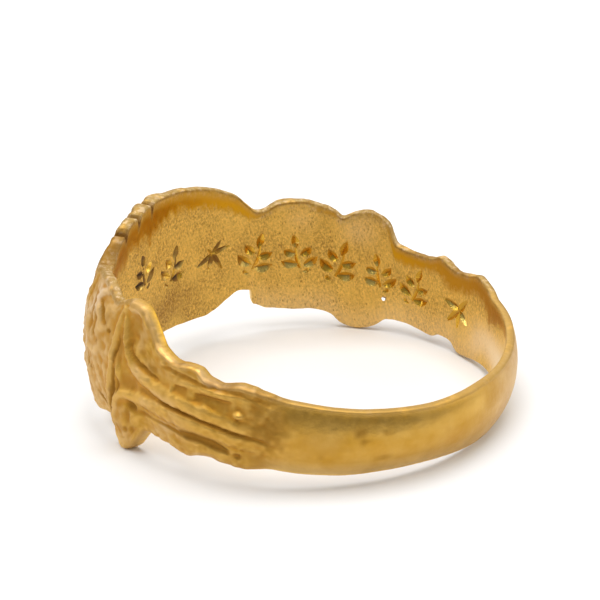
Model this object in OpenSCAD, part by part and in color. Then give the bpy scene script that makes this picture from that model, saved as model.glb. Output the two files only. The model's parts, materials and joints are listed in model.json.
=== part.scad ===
// Cast gold fede ring: two clasped hands, scalloped cuffs, ridged shoulders and a plain hoop.
// The ring lies on its side. The bezel with the hands faces -Y, and the plain hoop is at +Y.
// All lengths are in millimetres. Angles run round the hoop in degrees, with 0 at the bezel.

/* [Finger hole] */
// Inside diameter of the round part of the hoop
inner_d = 17; // [16:0.1:19]
// How far the worn inner wall swells outward beside the bezel
swell_depth = 0.8; // [0.6:0.05:0.9]
// Angle at the middle of the swell
swell_angle = 48; // [44:1:50]
// Angle from the middle of the swell to its end
swell_reach = 32; // [28:1:34]

/* [Wall] */
// Extra thickness over the whole outer face
wall_extra = 0; // [0:0.05:0.4]
// Exponent of the rounded outer face, where 0.5 is half round
dome_power = 0.8; // [0.5:0.05:1]
// Height of the hands above the domed wall
hand_height = 0.36; // [0.2:0.02:0.6]
// Height of the ridges on the cuffs and shoulders
ridge_height = 0.22; // [0.1:0.02:0.3]
// Depth of the cells and dishes between the ridges
cell_depth = 0.26; // [0.1:0.02:0.3]
// Depth of the folds carved on the sleeves
fold_depth = 0.14; // [0.05:0.01:0.2]

/* [Hands] */
// Width of a finger
finger_w = 1.5; // [1.2:0.05:1.6]
// Depth of the nicks that part the fingers on the upper edge
nick_depth = 0.24; // [0.1:0.02:0.35]
// Angle from the bezel's middle to the wrist on the near side
near_wrist = 41; // [39:1:43]
// Angle from the bezel's middle to the wrist on the far side
far_wrist = 30; // [28:1:31]

/* [Rest] */
// Lean of the hoop's axis towards the bezel as the ring lies
rest_lean = 8.4; // [0:0.1:12]
// Lean of the hoop's axis towards the near side as the ring lies
rest_side = 1.4; // [-3:0.1:3]

/* [Quality] */
// Angle between sections across the ornament
fine_step = 1.75; // [1.7:0.05:4]
// Points across the outer face
across = 29; // [15:2:29]

/* [Hidden] */

inner_r = inner_d / 2;
gold = "#d4a24a";

// The plain back of the hoop, from this angle on each side, takes longer steps.
plain_from = 120;
coarse_step = 7.5;

// The polyhedron's inner wall stands this far inside the bore that is cut through it.
cut_allowance = 0.3;

// A hole worn through the wall at the bottom of an engraved stroke on the far side.
worn_r = 0.13;
worn_angle = -77.9;
worn_z = -1.15;

// Edges of the band. Columns: angle, upper edge, lower edge.
edges = [
    [-180, 1.42, -1.45],
    [-150, 1.52, -1.50],
    [-126, 1.66, -1.82],
    [-116, 2.14, -2.26],
    [-105, 1.67, -1.96],
    [-97, 1.93, -2.28],
    [-88, 1.62, -2.15],
    [-80, 1.74, -2.28],
    [-75, 2.80, -2.92],
    [-69, 3.14, -3.28],
    [-64, 2.92, -3.22],
    [-60, 2.58, -2.80],
    [-54, 2.98, -2.57],
    [-46, 3.26, -2.64],
    [-38, 3.08, -2.58],
    [-31.5, 2.72, -2.36],
    [-30, 2.74, -1.60],
    [-23, 3.58, -1.90],
    [-14, 4.15, -2.64],
    [-3, 4.38, -2.75],
    [12, 4.54, -2.70],
    [22, 4.38, -2.48],
    [28, 4.18, -2.28],
    [35, 3.66, -2.00],
    [41, 3.02, -1.80],
    [43.5, 3.04, -2.45],
    [53, 3.32, -3.05],
    [61.5, 2.80, -2.66],
    [63.5, 3.00, -3.14],
    [68, 3.34, -3.72],
    [71, 3.34, -3.56],
    [75, 2.80, -2.86],
    [80, 1.96, -2.14],
    [87, 1.74, -2.16],
    [93, 1.93, -2.16],
    [100, 1.58, -1.94],
    [107, 1.80, -1.96],
    [118, 1.48, -1.70],
    [135, 1.30, -1.60],
    [160, 1.26, -1.46],
    [180, 1.42, -1.45]
];

// Wall thickness. Columns: angle from the bezel on either side, at the edges, added in the middle.
walls = [
    [0, 0.46, 0.26],
    [26, 0.46, 0.26],
    [36, 0.50, 0.40],
    [50, 0.56, 0.56],
    [62, 0.48, 0.50],
    [72, 0.42, 0.42],
    [82, 0.38, 0.38],
    [108, 0.36, 0.40],
    [124, 0.32, 0.44],
    [180, 0.32, 0.44]
];

// Angles of the nicks in the upper edge, which part the finger tips.
nicks = [16.5, 24.5, 32];

function ease(t) = (1 - cos(180 * t)) / 2;
function row_at(table, a) = max([for (k = [0 : len(table) - 2]) if (table[k][0] <= a) k]);
function eased(table, a, column) =
    let (
        k = row_at(table, a),
        t = (a - table[k][0]) / (table[k + 1][0] - table[k][0])
    )
    table[k][column] + (table[k + 1][column] - table[k][column]) * ease(t);

// 1 at the middle, falling smoothly to 0 at distance 1.
function bump(d) = abs(d) >= 1 ? 0 : pow(1 - d * d, 2);
// 1 between low and high, falling to 0 over the soft width outside them.
function window(x, low, high, soft) =
    let (outside = max(low - x, x - high, 0) / soft)
    outside >= 1 ? 0 : 1 - ease(outside);
// Height of a round bar of half width w at distance d from its middle.
function bar(d, w) = d >= w ? 0 : sqrt(1 - pow(d / w, 2));
function distance_to(p, a, b) =
    let (
        along = b - a,
        t = min(1, max(0, ((p - a) * along) / (along * along)))
    )
    norm(p - a - along * t);

function swell(a) =
    abs(a - swell_angle) >= swell_reach ? 0 : swell_depth * ease(1 - abs(a - swell_angle) / swell_reach);
function nick(a) = nick_depth * max([for (n = nicks) bump((a - n) / 1.9)]);
function top_z(a) = eased(edges, a, 1) - nick(a);
function bottom_z(a) = eased(edges, a, 2);

// Place on the unrolled outer face in millimetres, measured from the bezel's middle.
face_r = inner_r + 1;
function arc(a) = a * face_r * PI / 180;

// One hand: fingers over the upper edge, the back of the hand below them, and the thumb.
// The far hand is the same hand turned half round about the bezel's middle.
function finger_row(p, wrist) =
    max([for (k = [0 : 3])
        let (
            root = arc(wrist * (0.29 + 0.20 * k)),
            tip = root - 1.1
        )
        bar(distance_to(p, [tip, 1.0 + 0.22 * k], [root, 4.6]), finger_w / 2 * wrist / near_wrist + 0.06)]);
function hand(p, wrist) =
    max(
        hand_height * finger_row(p, wrist),
        0.8 * hand_height * bar(distance_to(p, [arc(wrist) * 0.5, -0.9], [arc(wrist) * 0.95, -0.3]), 1.6),
        hand_height * bar(distance_to(p, [-0.5, 1.3], [arc(wrist) * 0.45, 0.1]), 0.65)
    );
function hands(a, z) =
    let (p = [arc(a), z - 0.7])
    a > near_wrist + 4 || a < -far_wrist - 4 ? 0
    : max(hand(p, near_wrist), hand(-p, far_wrist))
      * window(a, -far_wrist, near_wrist, 3);

// Sleeve folds on the first lobe: slanting grooves that meet on the middle line.
function folds(a, z) =
    let (phase = arc(a) * 0.8 - abs(z - 0.2) * 0.7)
    -fold_depth * window(a, 47, 58, 3) * pow(abs(sin(phase * 150)), 3);

// The ridge line on one half of the cuff: level along the shoulder, then flaring over lobe two.
function ridge_z(a) = 0.40 + 0.75 * ease(min(1, max(0, (80 - a) / 12)));
function ridges(a, z) =
    let (
        half = abs(z),
        along = window(a, 67, 108, 5) * bump((half - ridge_z(a)) / 0.34),
        border = window(half, ridge_z(68), 9, 0.4) * bump(arc(a - 68) / 0.34),
        collar = bump(arc(a - 64) / 0.34)
    )
    ridge_height * max(along, border, collar);
// Dishes on lobe two, and the sunk cells between the ridges and the edges of the shoulder.
function cells(a, z) =
    let (
        half = abs(z),
        dish = window(a, 71, 76, 2) * window(half, ridge_z(a) + 0.75, 2.3, 0.45),
        short_cell = window(a, 87, 90.5, 1.5),
        long_cell = window(a, 94.5, 104.5, 1.5)
    )
    -cell_depth * max(dish, max(short_cell, long_cell) * window(half, 0.84, 1.06, 0.22));

// Height of the ornament above the domed wall.
function relief(a, z) = hands(a, z) + folds(abs(a), z) + ridges(abs(a), z) + cells(abs(a), z);

function hole_r(a) = inner_r + swell(a);
function outer_r(a, v) =
    let (
        z = (top_z(a) + bottom_z(a)) / 2 + v * (top_z(a) - bottom_z(a)) / 2,
        fade = pow(1 - v * v, 0.25)
    )
    hole_r(a) + wall_extra + eased(walls, abs(a), 1)
    + eased(walls, abs(a), 2) * pow(1 - v * v, dome_power) + fade * relief(a, z);

function around(r, a, z) = [r * cos(a), r * sin(a), z];

// Sections run from the lower inner corner over the outer face to the upper inner corner.
face_steps = [for (k = [0 : across - 1]) -cos(180 * k / (across - 1)) * 0.35 + (2 * k / (across - 1) - 1) * 0.65];
function outer_points(a) = [for (v = face_steps)
    around(outer_r(a, v), a, (top_z(a) + bottom_z(a)) / 2 + v * (top_z(a) - bottom_z(a)) / 2)];
function cut_r(a) = swell(a) > 0.03 ? hole_r(a) : inner_r - cut_allowance;
function section(a) = concat(
    [around(cut_r(a), a, bottom_z(a))],
    outer_points(a),
    [around(cut_r(a), a, top_z(a))]
);

stations = concat(
    [for (a = [-180 : coarse_step : -plain_from - 0.1]) a],
    [for (a = [-plain_from : fine_step : plain_from]) a],
    [for (a = [plain_from + 4 : coarse_step : 178]) a]
);
station_count = len(stations);
ring_points = [for (a = stations) each section(a)];
section_size = across + 2;
ring_faces = [for (i = [0 : station_count - 1]) each
    [for (j = [0 : section_size - 1])
        let (
            next = (i + 1) % station_count,
            up = (j + 1) % section_size
        )
        [i * section_size + j, i * section_size + up, next * section_size + up, next * section_size + j]]];

// The ring's own axes are turned so that it lies on its lower edge, with the bezel towards -Y.
function lean(p) = [
    p.x * cos(rest_lean) - p.z * sin(rest_lean),
    p.y,
    p.x * sin(rest_lean) + p.z * cos(rest_lean)
];
function side(p) = [
    p.x,
    p.y * cos(rest_side) - p.z * sin(rest_side),
    p.y * sin(rest_side) + p.z * cos(rest_side)
];
function laid(p) =
    let (q = side(lean(p)))
    [q.y, -q.x, q.z];

// The origin is under the middle of the ring's box, on the surface that it lies on.
edge_points = [for (a = stations) each
    concat(outer_points(a), [around(hole_r(a), a, bottom_z(a)), around(hole_r(a), a, top_z(a))])];
laid_points = [for (p = edge_points) laid(p)];
box_low = [for (k = [0 : 2]) min([for (p = laid_points) p[k]])];
box_high = [for (k = [0 : 2]) max([for (p = laid_points) p[k]])];
rest_shift = [-(box_low.x + box_high.x) / 2, -(box_low.y + box_high.y) / 2, -box_low.z];

module lie_down() {
    translate(rest_shift)
        rotate([0, 0, -90])
            rotate([rest_side, 0, 0])
                rotate([0, -rest_lean, 0])
                    children();
}

module ring() {
    color(gold)
        lie_down()
            difference() {
                polyhedron(points = ring_points, faces = ring_faces, convexity = 8);
                cylinder(r = inner_r, h = 16, center = true, $fn = 180);
                rotate([0, 90, worn_angle])
                    translate([-worn_z, 0, inner_r - 1])
                        cylinder(r = worn_r, h = 4, $fn = 24);
            }
}

ring();
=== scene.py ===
import json
import math
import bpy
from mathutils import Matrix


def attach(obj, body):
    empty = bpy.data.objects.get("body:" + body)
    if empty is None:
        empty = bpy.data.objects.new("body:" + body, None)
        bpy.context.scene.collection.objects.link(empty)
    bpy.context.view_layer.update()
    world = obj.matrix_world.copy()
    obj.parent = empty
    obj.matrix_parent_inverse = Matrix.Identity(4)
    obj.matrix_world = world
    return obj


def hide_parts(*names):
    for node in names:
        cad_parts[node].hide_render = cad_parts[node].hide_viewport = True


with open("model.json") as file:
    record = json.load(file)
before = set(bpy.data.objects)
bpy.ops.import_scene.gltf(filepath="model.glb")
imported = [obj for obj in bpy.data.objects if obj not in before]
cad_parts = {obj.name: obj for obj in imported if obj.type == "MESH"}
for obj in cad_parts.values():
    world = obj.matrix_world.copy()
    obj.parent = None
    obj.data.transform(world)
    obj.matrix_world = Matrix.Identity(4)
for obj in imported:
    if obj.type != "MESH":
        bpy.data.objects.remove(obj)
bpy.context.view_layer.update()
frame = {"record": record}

from types import SimpleNamespace

import bpy
import numpy as np
from mathutils import Matrix, Vector

bl_info = {
    "name": "Fede Ring",
    "version": (1, 0, 0),
    "blender": (4, 5, 0),
    "location": "View3D > Sidebar > Fede Ring",
    "description": "Dresses a cast gold ring with clasped hands, ridged shoulders and engraved marks",
    "category": "Object",
}

# Lengths of the ring are in millimetres until the finished mesh is scaled to metres.
# A place on the ring is an angle round the hoop, 0 at the middle of the bezel and growing towards
# the near side, and z, its height along the hoop's own axis.
MM = 0.001
BORE = next(m for m in frame["record"]["mounts"] if m["name"] == "finger_bore")
BORE_RADIUS = BORE["dims"]["r_mm"]
FACE_RADIUS = BORE_RADIUS + 1.0


def ring_to_row():
    """The matrix that takes the ring's own axes, +X to the bezel and +Z up the bore, to the row frame."""
    up = Vector(BORE["axis"]).normalized()
    bezel = Vector((0, -1, 0))
    bezel = (bezel - up * bezel.dot(up)).normalized()
    near = up.cross(bezel)
    turn = Matrix((bezel, near, up)).transposed().to_4x4()
    return Matrix.Translation(Vector(BORE["pos_m"])) @ turn @ Matrix.Scale(MM, 4)


RING_TO_ROW = ring_to_row()

# Edges of the band. Columns: angle, upper edge, lower edge.
EDGES = (
    (-180, 1.4, -1.58), (-160, 1.46, -1.54), (-146, 1.54, -1.54), (-136, 1.66, -1.62),
    (-126, 1.68, -1.78), (-122, 1.92, -1.9), (-118, 2.06, -2.06), (-115, 2.12, -2.2),
    (-111, 1.93, -2.28), (-105, 1.68, -1.92), (-101, 1.78, -1.98), (-97, 1.99, -2.28),
    (-93, 1.72, -2.22), (-88, 1.64, -2.2), (-80, 1.74, -2.3), (-75, 2.8, -2.92), (-69, 3.12, -3.27),
    (-64, 2.89, -3.14), (-60, 2.56, -2.73), (-57, 2.84, -2.6), (-54, 2.99, -2.57), (-46, 3.21, -2.69),
    (-38, 3.05, -2.66), (-34, 2.7, -2.46), (-32.4, 2.62, -2.38), (-31.2, 2.62, -1.62),
    (-27, 3.05, -1.58), (-23, 3.58, -1.93), (-18, 3.93, -2.46), (-14, 4.15, -2.71), (-3, 4.46, -2.75),
    (12, 4.63, -2.7), (22, 4.38, -2.48), (28, 4.18, -2.28), (35, 3.62, -2), (41, 2.98, -1.8),
    (43.5, 3.04, -2.45), (53, 3.32, -3.05), (60.5, 2.8, -2.66), (63.4, 3, -2.94), (65.4, 3.2, -3.48),
    (68, 3.34, -3.76), (71.5, 3.34, -3.4), (74.4, 2.98, -2.74), (76.6, 2.58, -2.27), (80, 2, -2.14),
    (87, 1.73, -2.1), (92, 1.86, -2.22), (94, 1.84, -2.17), (97, 1.61, -1.97), (101, 1.55, -1.87),
    (107, 1.83, -1.97), (113, 1.68, -1.86), (118, 1.51, -1.76), (124, 1.43, -1.76), (135, 1.31, -1.72),
    (148, 1.26, -1.56), (160, 1.24, -1.48), (172, 1.33, -1.53), (180, 1.4, -1.58),
)
# Wall thickness. Columns: angle, at the edges, added in the middle.
WALLS = (
    (-180, 0.24, 0.46), (-150, 0.3, 0.41), (-120, 0.3, 0.46), (-104, 0.3, 0.45), (-82, 0.32, 0.43),
    (-72, 0.3, 0.52), (-62, 0.32, 0.66), (-50, 0.36, 0.74), (-36, 0.36, 0.52), (-26, 0.38, 0.32),
    (0, 0.46, 0.25), (24, 0.44, 0.28), (35, 0.4, 0.5), (42, 0.44, 0.62), (50, 0.32, 0.7),
    (62, 0.26, 0.69), (72, 0.4, 0.46), (82, 0.5, 0.28), (104, 0.46, 0.32), (112, 0.34, 0.44),
    (120, 0.22, 0.57), (150, 0.2, 0.57), (180, 0.24, 0.46),
)
# Nicks between the finger tips on the upper edge. Columns: angle, depth.
NICKS = ((16.8, 0.36), (24.6, 0.40), (32, 0.34))
NICK_HALF_WIDTH = 1.2
# The outer face takes this share of the band's width, and rounded corners take the rest.
FACE_SHARE = 0.92
OUTER_CORNER_POINTS = 6
INNER_CORNER_POINTS = 3
# Sections lie close together within this angle of the bezel, where the ornament is, and are this many
# times as far apart on the plain hoop.
ORNAMENT_END = 122
PLAIN_STEP = 3.5
# Where the sleeve, the cuff and the plain hoop begin, in degrees from the bezel's middle.
SLEEVE_START = 44
CUFF_START = 66
HOOP_START = 112

# Ridges and grooves of one cuff and shoulder, the other side being their mirror image.
# Each has a name, its share of soil and painted shade, and its points. Columns: angle, z, half width,
# height.
LINES = (
    ("upper ridge", 0, (
        (65.2, 2.95, 0.1, 0.09), (67.2, 2.45, 0.11, 0.13), (68.5, 1.85, 0.12, 0.15),
        (69.7, 1.25, 0.14, 0.16), (71.6, 0.8, 0.2, 0.17), (75, 0.46, 0.3, 0.17), (82, 0.3, 0.36, 0.17),
        (93, 0.24, 0.34, 0.17), (102, 0.2, 0.33, 0.15), (108, 0.12, 0.3, 0.11), (114, 0.05, 0.26, 0.06),
        (122, 0, 0.22, 0))),
    ("lower ridge", 0, (
        (64.7, -2.75, 0.1, 0.08), (65.4, -2.2, 0.11, 0.12), (66.3, -1.65, 0.13, 0.15),
        (67.3, -1.15, 0.17, 0.17), (69.6, -0.86, 0.22, 0.18), (74, -0.72, 0.32, 0.18),
        (82, -0.58, 0.38, 0.17), (93, -0.5, 0.37, 0.16), (103, -0.5, 0.35, 0.13),
        (109, -0.6, 0.34, 0.07), (114, -0.66, 0.3, 0))),
    ("arch", 0, (
        (66, 2.85, 0.1, 0.08), (68.2, 3.02, 0.12, 0.1), (70.4, 3.14, 0.12, 0.06), (72.4, 3, 0.1, 0))),
    ("collar", 0, (
        (65.3, 3.2, 0.1, 0.1), (64.9, 2.3, 0.11, 0.14), (64.6, 1.1, 0.12, 0.15), (64.4, 0.1, 0.13, 0.15),
        (64.1, -0.9, 0.13, 0.15), (63.8, -1.9, 0.12, 0.14), (63.2, -2.9, 0.1, 0.1))),
    ("collar groove", 0.9, (
        (66.2, 1.75, 0.03, -0.03), (66.1, 1.3, 0.055, -0.11), (65.6, 0.82, 0.06, -0.12),
        (65.3, 0.4, 0.05, -0.1), (65.4, 0.2, 0.03, -0.03), (65.6, -0.04, 0.055, -0.1),
        (65.6, -0.35, 0.05, -0.08), (65.7, -0.9, 0.12, -0.1), (65.3, -1.5, 0.11, -0.1),
        (64.8, -2.1, 0.08, -0.09), (64.2, -2.8, 0.05, -0.06))),
    ("collar cut", 0.8, (
        (67.2, -0.35, 0.05, -0.08), (67.5, -0.65, 0.07, -0.14), (67.3, -0.95, 0.04, -0.06))),
    ("lens", 0, ((66.9, 0.5, 0.08, 0.05), (67.5, 0.05, 0.13, 0.14), (68.1, -0.32, 0.08, 0.05))),
    ("middle groove", 0.85, (
        (82.6, -0.2, 0.05, -0.03), (84.5, -0.18, 0.07, -0.09), (88, -0.16, 0.075, -0.13),
        (92.5, -0.13, 0.075, -0.13), (97, -0.15, 0.065, -0.1), (101, -0.18, 0.055, -0.08),
        (105, -0.2, 0.08, -0.09), (110, -0.23, 0.09, -0.07), (114, -0.28, 0.1, -0.06),
        (118, -0.44, 0.08, -0.03))),
    ("flare shadow", 0.8, (
        (70.6, 1.62, 0.05, -0.03), (71.9, 1.22, 0.07, -0.09), (74.5, 0.96, 0.09, -0.13),
        (76.7, 0.84, 0.1, -0.14), (79, 0.76, 0.09, -0.1), (82, 0.7, 0.07, -0.05))),
    ("cell roof", 0, (
        (84.6, 1.08, 0.1, 0.02), (88.4, 1.1, 0.14, 0.045), (93.4, 1.17, 0.14, 0.055),
        (99.5, 1.2, 0.14, 0.055), (104.8, 1.22, 0.14, 0.05), (109, 1.36, 0.13, 0.02))),
    ("under the rim", 0.6, (
        (82.5, 1.34, 0.06, -0.03), (86, 1.42, 0.1, -0.08), (90.6, 1.42, 0.11, -0.1),
        (96.5, 1.38, 0.09, -0.1), (100.6, 1.4, 0.09, -0.11), (105, 1.48, 0.11, -0.12),
        (109, 1.5, 0.13, -0.1), (113.5, 1.34, 0.12, -0.06), (119, 1.22, 0.16, -0.02))),
    ("under the lower ridge", 0.45, (
        (73.6, -1.42, 0.07, -0.06), (77.8, -1.27, 0.08, -0.08), (81.4, -1.22, 0.07, -0.06),
        (85.3, -1.17, 0.08, -0.08), (88.4, -1.17, 0.09, -0.08), (91.4, -1.2, 0.12, -0.12))),
    ("lower cell", 0.8, (
        (91.4, -1.12, 0.14, -0.08), (93.6, -1.13, 0.21, -0.18), (97, -1.07, 0.19, -0.14),
        (100, -1.08, 0.21, -0.16), (103, -1.12, 0.21, -0.18), (105, -1.16, 0.12, -0.08))),
    ("end line", 0.3, ((114.7, -0.85, 0.08, -0.025), (115.1, -1.7, 0.08, -0.025))),
    ("barb", 0, ((115.4, 1.3, 0.06, 0.03), (114.6, 0.9, 0.08, 0.06), (113.7, 0.5, 0.06, 0.04))),
    ("sleeve ridge", 0, (
        (52.2, 2.35, 0.12, 0.05), (54.2, 2.1, 0.14, 0.11), (55.6, 1.8, 0.12, 0.11),
        (56.4, 1.48, 0.11, 0.11), (57.6, 1.33, 0.11, 0.09), (60.2, 1.46, 0.1, 0.05))),
    ("sleeve groove", 0.6, (
        (54.8, 2.42, 0.07, -0.06), (56.4, 2.1, 0.1, -0.13), (57.6, 1.82, 0.14, -0.16),
        (58.6, 1.62, 0.1, -0.1))),
    ("sleeve side groove", 0.5, (
        (52.8, 1.85, 0.06, -0.05), (54.2, 1.45, 0.09, -0.11), (54.2, 1.05, 0.1, -0.12),
        (54, 0.7, 0.07, -0.06))),
    ("sleeve hem", 0, (
        (60.8, 3, 0.12, 0.05), (58, 3.05, 0.16, 0.09), (55.4, 2.85, 0.18, 0.1), (53.4, 2.55, 0.16, 0.06))),
    ("sleeve fold", 0, (
        (50.5, 0.05, 0.14, 0.06), (54.5, 0.02, 0.18, 0.08), (58.2, 0.26, 0.14, 0.06),
        (61.6, 0.52, 0.1, 0.03))),
    ("front fold", 0, (
        (47.2, 1.9, 0.12, 0.05), (49.6, 1.2, 0.16, 0.1), (50.2, 0.5, 0.14, 0.09), (49, -0.2, 0.12, 0.04))),
    ("second fold", 0, (
        (54.6, -0.2, 0.1, 0.03), (57.2, -0.62, 0.13, 0.06), (59.2, -1.15, 0.12, 0.05),
        (60.2, -1.6, 0.1, 0.02))),
    ("third fold", 0, (
        (51.2, -0.7, 0.12, 0.04), (53.6, -1.25, 0.15, 0.07), (55.2, -1.9, 0.13, 0.06),
        (56, -2.5, 0.1, 0.02))),
    ("fourth fold", 0, ((59.6, 0.3, 0.08, 0.02), (61.4, -0.25, 0.1, 0.05), (61.9, -0.9, 0.09, 0.03))),
    ("low sleeve cut", 0.7, (
        (57.6, -1.78, 0.06, -0.05), (59.6, -1.92, 0.09, -0.12), (61.4, -2.1, 0.06, -0.06))),
    ("front cut", 0.4, (
        (51.4, -0.25, 0.06, -0.04), (52.4, -0.62, 0.08, -0.09), (52.6, -1.05, 0.06, -0.05))),
    ("upper front cut", 0.4, (
        (50.6, 2.5, 0.06, -0.04), (51.4, 2, 0.09, -0.1), (52, 1.2, 0.08, -0.09),
        (51.8, 0.6, 0.06, -0.04))),
)
# Hollows and knobs between those lines. Columns: name, angle, z, half length in degrees, half height,
# height, share of soil and painted shade.
PATCHES = (
    ("dish", 71.2, 2.2, 2.8, 0.86, -0.15, 0.32), ("dish foot", 70.3, 1.5, 1, 0.24, -0.05, 0.45),
    ("dish's side", 74.4, 1.9, 1.7, 0.62, -0.02, 0.12),
    ("sleeve's deep pit", 61.2, 1.44, 0.75, 0.11, -0.15, 0.9),
    ("sleeve speck", 56.6, 0.62, 0.5, 0.1, -0.06, 0.6),
    ("low speck", 54.4, -0.85, 0.6, 0.09, -0.07, 0.6),
    ("sleeve's brown", 58.8, 1.78, 1.8, 0.34, 0, 0.35), ("rim drop", 60.6, 2.98, 1.4, 0.2, 0.07, 0),
    ("wrist's lump", 39.6, 3.05, 5, 0.85, 0.3, 0), ("strip", 67.1, 1.15, 0.8, 1.05, -0.03, 0.4),
    ("wedge", 71, -0.2, 3.4, 0.42, -0.08, 0.35), ("long wedge", 79, -0.16, 4.2, 0.13, -0.02, 0.45),
    ("dish's dark spot", 70.4, 1.55, 0.8, 0.32, -0.02, 0.55),
    ("first blotch", 79.6, 1.02, 2, 0.16, -0.03, 0.45),
    ("second blotch", 75.4, 1.52, 1.3, 0.14, -0.02, 0.35),
    ("dish's bead", 71.9, 1.62, 0.7, 0.16, 0.04, 0),
    ("first bright lump", 81.6, 1.92, 2.6, 0.2, 0.06, 0),
    ("second bright lump", 98, 1.62, 4, 0.16, 0.05, 0),
    ("third bright lump", 107.6, 1.8, 2.4, 0.15, 0.05, 0),
    ("flare lump", 74.3, 2.85, 1.2, 0.24, 0.06, 0), ("low cell's bead", 96.4, -1.36, 0.9, 0.1, 0.05, 0),
    ("wedge end", 73, -0.22, 1.7, 0.24, -0.04, 0.3), ("petal", 60, 2.36, 3.6, 0.72, 0.09, 0),
    ("cuff pit", 72.5, -1.27, 2, 0.27, -0.22, 0.85), ("cuff trench", 70.9, -1.85, 1.1, 0.46, -0.1, 0.4),
    ("front pit", 70.1, -2.62, 0.9, 0.14, -0.1, 0.45), ("back pit", 72.6, -2.46, 0.9, 0.18, -0.1, 0.4),
    ("cuff knob", 74.2, -1.92, 1.6, 0.3, 0.07, 0), ("cuff swelling", 69.3, -3.1, 2.2, 0.36, 0.05, 0),
    ("bright bit", 87, 0.66, 0.8, 0.1, 0.07, 0), ("dot", 107.4, 0.62, 1.6, 0.17, 0.22, 0),
    ("cell's bead", 97.7, 0.54, 0.9, 0.1, 0.06, 0), ("over the dot", 107, 0.92, 1, 0.13, -0.06, 0.4),
    ("knob", 109, 1.18, 1.7, 0.26, 0.05, 0), ("hollow", 112, 1.25, 2.2, 0.46, -0.05, 0.55),
    ("barb foot", 114.3, 0.46, 0.7, 0.09, -0.06, 0.5), ("barb side", 115.2, 0.78, 0.6, 0.11, -0.05, 0.4),
    ("shoulder's end", 118.6, 0.44, 2, 0.24, -0.015, 0.3),
    ("first pit", 105.3, -1.27, 0.7, 0.09, -0.06, 0.5),
    ("second pit", 108, -1.3, 1.2, 0.17, -0.11, 0.65),
    ("third pit", 109.4, -0.92, 0.6, 0.1, -0.06, 0.45),
)
# Square-ended cells sunk between the ridges. Columns: name, angle and z of one end, angle and z of the
# other, half height, height, share of soil and painted shade.
CELLS = (
    ("short cell", 87.6, 0.7, 92.4, 0.84, 0.21, -0.16, 0.75),
    ("long cell", 94.3, 0.7, 105.4, 0.88, 0.26, -0.2, 0.85),
)
# Stains on the hoop, and painted shade under the hoop's upper rim, at the shoulder's end and over the
# wrist.
# Columns: angle, z, half length in degrees, half height, share of soil and painted shade.
STAINS_AND_SHADE = (
    (138.4, 0.5, 2.8, 0.34, 0.84), (139.8, 0.12, 1.8, 0.3, 0.7), (146, 0.5, 2, 0.22, 0.6),
    (142.4, 0.98, 1.2, 0.18, 0.4), (129.6, -0.62, 2, 0.26, 0.5), (145.6, -0.62, 2.6, 0.22, 0.55),
    (121.5, -0.72, 1.6, 0.2, 0.24), (164.5, 0.14, 2.4, 0.3, 0.1), (122, 0.95, 5.5, 0.5, 0.24),
    (134, 1.05, 2.6, 0.24, 0.12), (141, 1, 1.2, 0.2, 0.12), (147, 1.06, 4.2, 0.2, 0.1),
    (115.5, 0.35, 9.5, 1.5, 0.8), (104, 0.85, 7, 0.6, 0.34), (113, -1.2, 7, 0.7, 0.36),
    (128, -0.1, 15, 0.95, 0.3), (37.5, 3.35, 11, 2.4, 0.84),
)
# How far the polish reaches down the inner wall from the upper edge, its orange a painted reflection of
# the gold. Columns: angle, reach, depth.
POLISH_AND_REFLECTION = (
    (-180, 0.02, 0), (-156, 0.05, 0), (-144, 0.42, 0.5), (-137, 0.66, 0.8), (-131, 1, 1),
    (-127, 1.28, 1), (-121, 0.92, 1), (-115, 1.02, 1), (-103, 1.04, 1), (-97, 0.86, 1), (-91, 0.66, 0.8),
    (-85, 0.76, 0.8), (-80, 0.72, 0.7), (-77, 0.42, 0.6), (-73, 0.14, 0.6), (-66, 0.08, 0.5),
    (-60, 0.14, 0.5), (-55, 0.34, 0.4), (-52, 0.36, 0.4), (-48, 0.12, 0.3), (-37, 0.12, 0.3),
    (-31, 0.34, 0.4), (-27, 0.7, 0.5), (-22, 0.9, 0.4), (-15, 1.05, 0.3), (-5, 1.1, 0.2), (7, 1.25, 0.2),
    (16, 1.7, 0.4), (23, 1.5, 0.4), (29, 1.4, 0.6), (33, 1.5, 0.8), (37, 1.4, 0.8), (44, 0.7, 0.7),
    (70, 0.3, 0), (120, 0.45, 0), (180, 0.02, 0),
)
# Where the sleeve is frosted and given a painted sheen, along a line. Columns: angle, z. The frost and
# sheen fade out over the reach, which counts in half widths of the line.
FROST_AND_SHEEN = ((56.5, 3.30), (54.0, 2.75), (52.0, 2.20), (48.0, 1.40), (45.5, 0.90), (47.5, 0.30), (50.0, -0.30))
FROST_AND_SHEEN_HALF_WIDTH = 0.50
FROST_AND_SHEEN_REACH = 1.3

# The clasped hands: where each wrist ends, in degrees from the bezel's middle, and z of that middle.
NEAR_WRIST = 41.0
FAR_WRIST = 30.0
BEZEL_MIDDLE = 0.75
# Length of a hand from the clasp to its wrist, in the hand's own lengths, and the far hand's width
# against the near one's.
HAND_LENGTH = 6.8
FAR_HAND_WIDTH = 0.92
# Wear softens the hands and the rest of the carving, which lowers the hands, and the lift makes up for it.
HAND_WEAR = 7
CARVING_WEAR = 2
WEAR_LIFT = 1.05
# The material brightens what stands over its surroundings and darkens what lies under them. These are
# the softenings that give a place's own height and its surroundings', and the difference that counts fully.
PLACE_SOFTENING = 2
SURROUNDINGS_SOFTENING = 30
FULL_DIFFERENCE = 0.030

# The place where the wall has worn through, as angle and z. Its lean is a turn about each axis, in radians.
WORN_HOLE = (-77.9, -1.22)
WORN_HOLE_RADIUS = 0.13
WORN_HOLE_LEAN = (0.52, 0.38, 0.0)
# The graver's half width and depth for a stroke of depth 1.
GRAVER_SPREAD = 1.9
GRAVER_DEPTH = 0.72
# The engraved cuts lie this near the inner wall and this far from the rims.
CUT_REACH = 0.30
RIM_CLEAR = 0.15
# Black grime fills the cuts from this angle on towards the near side.
GRIME_START = -8.0

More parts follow.
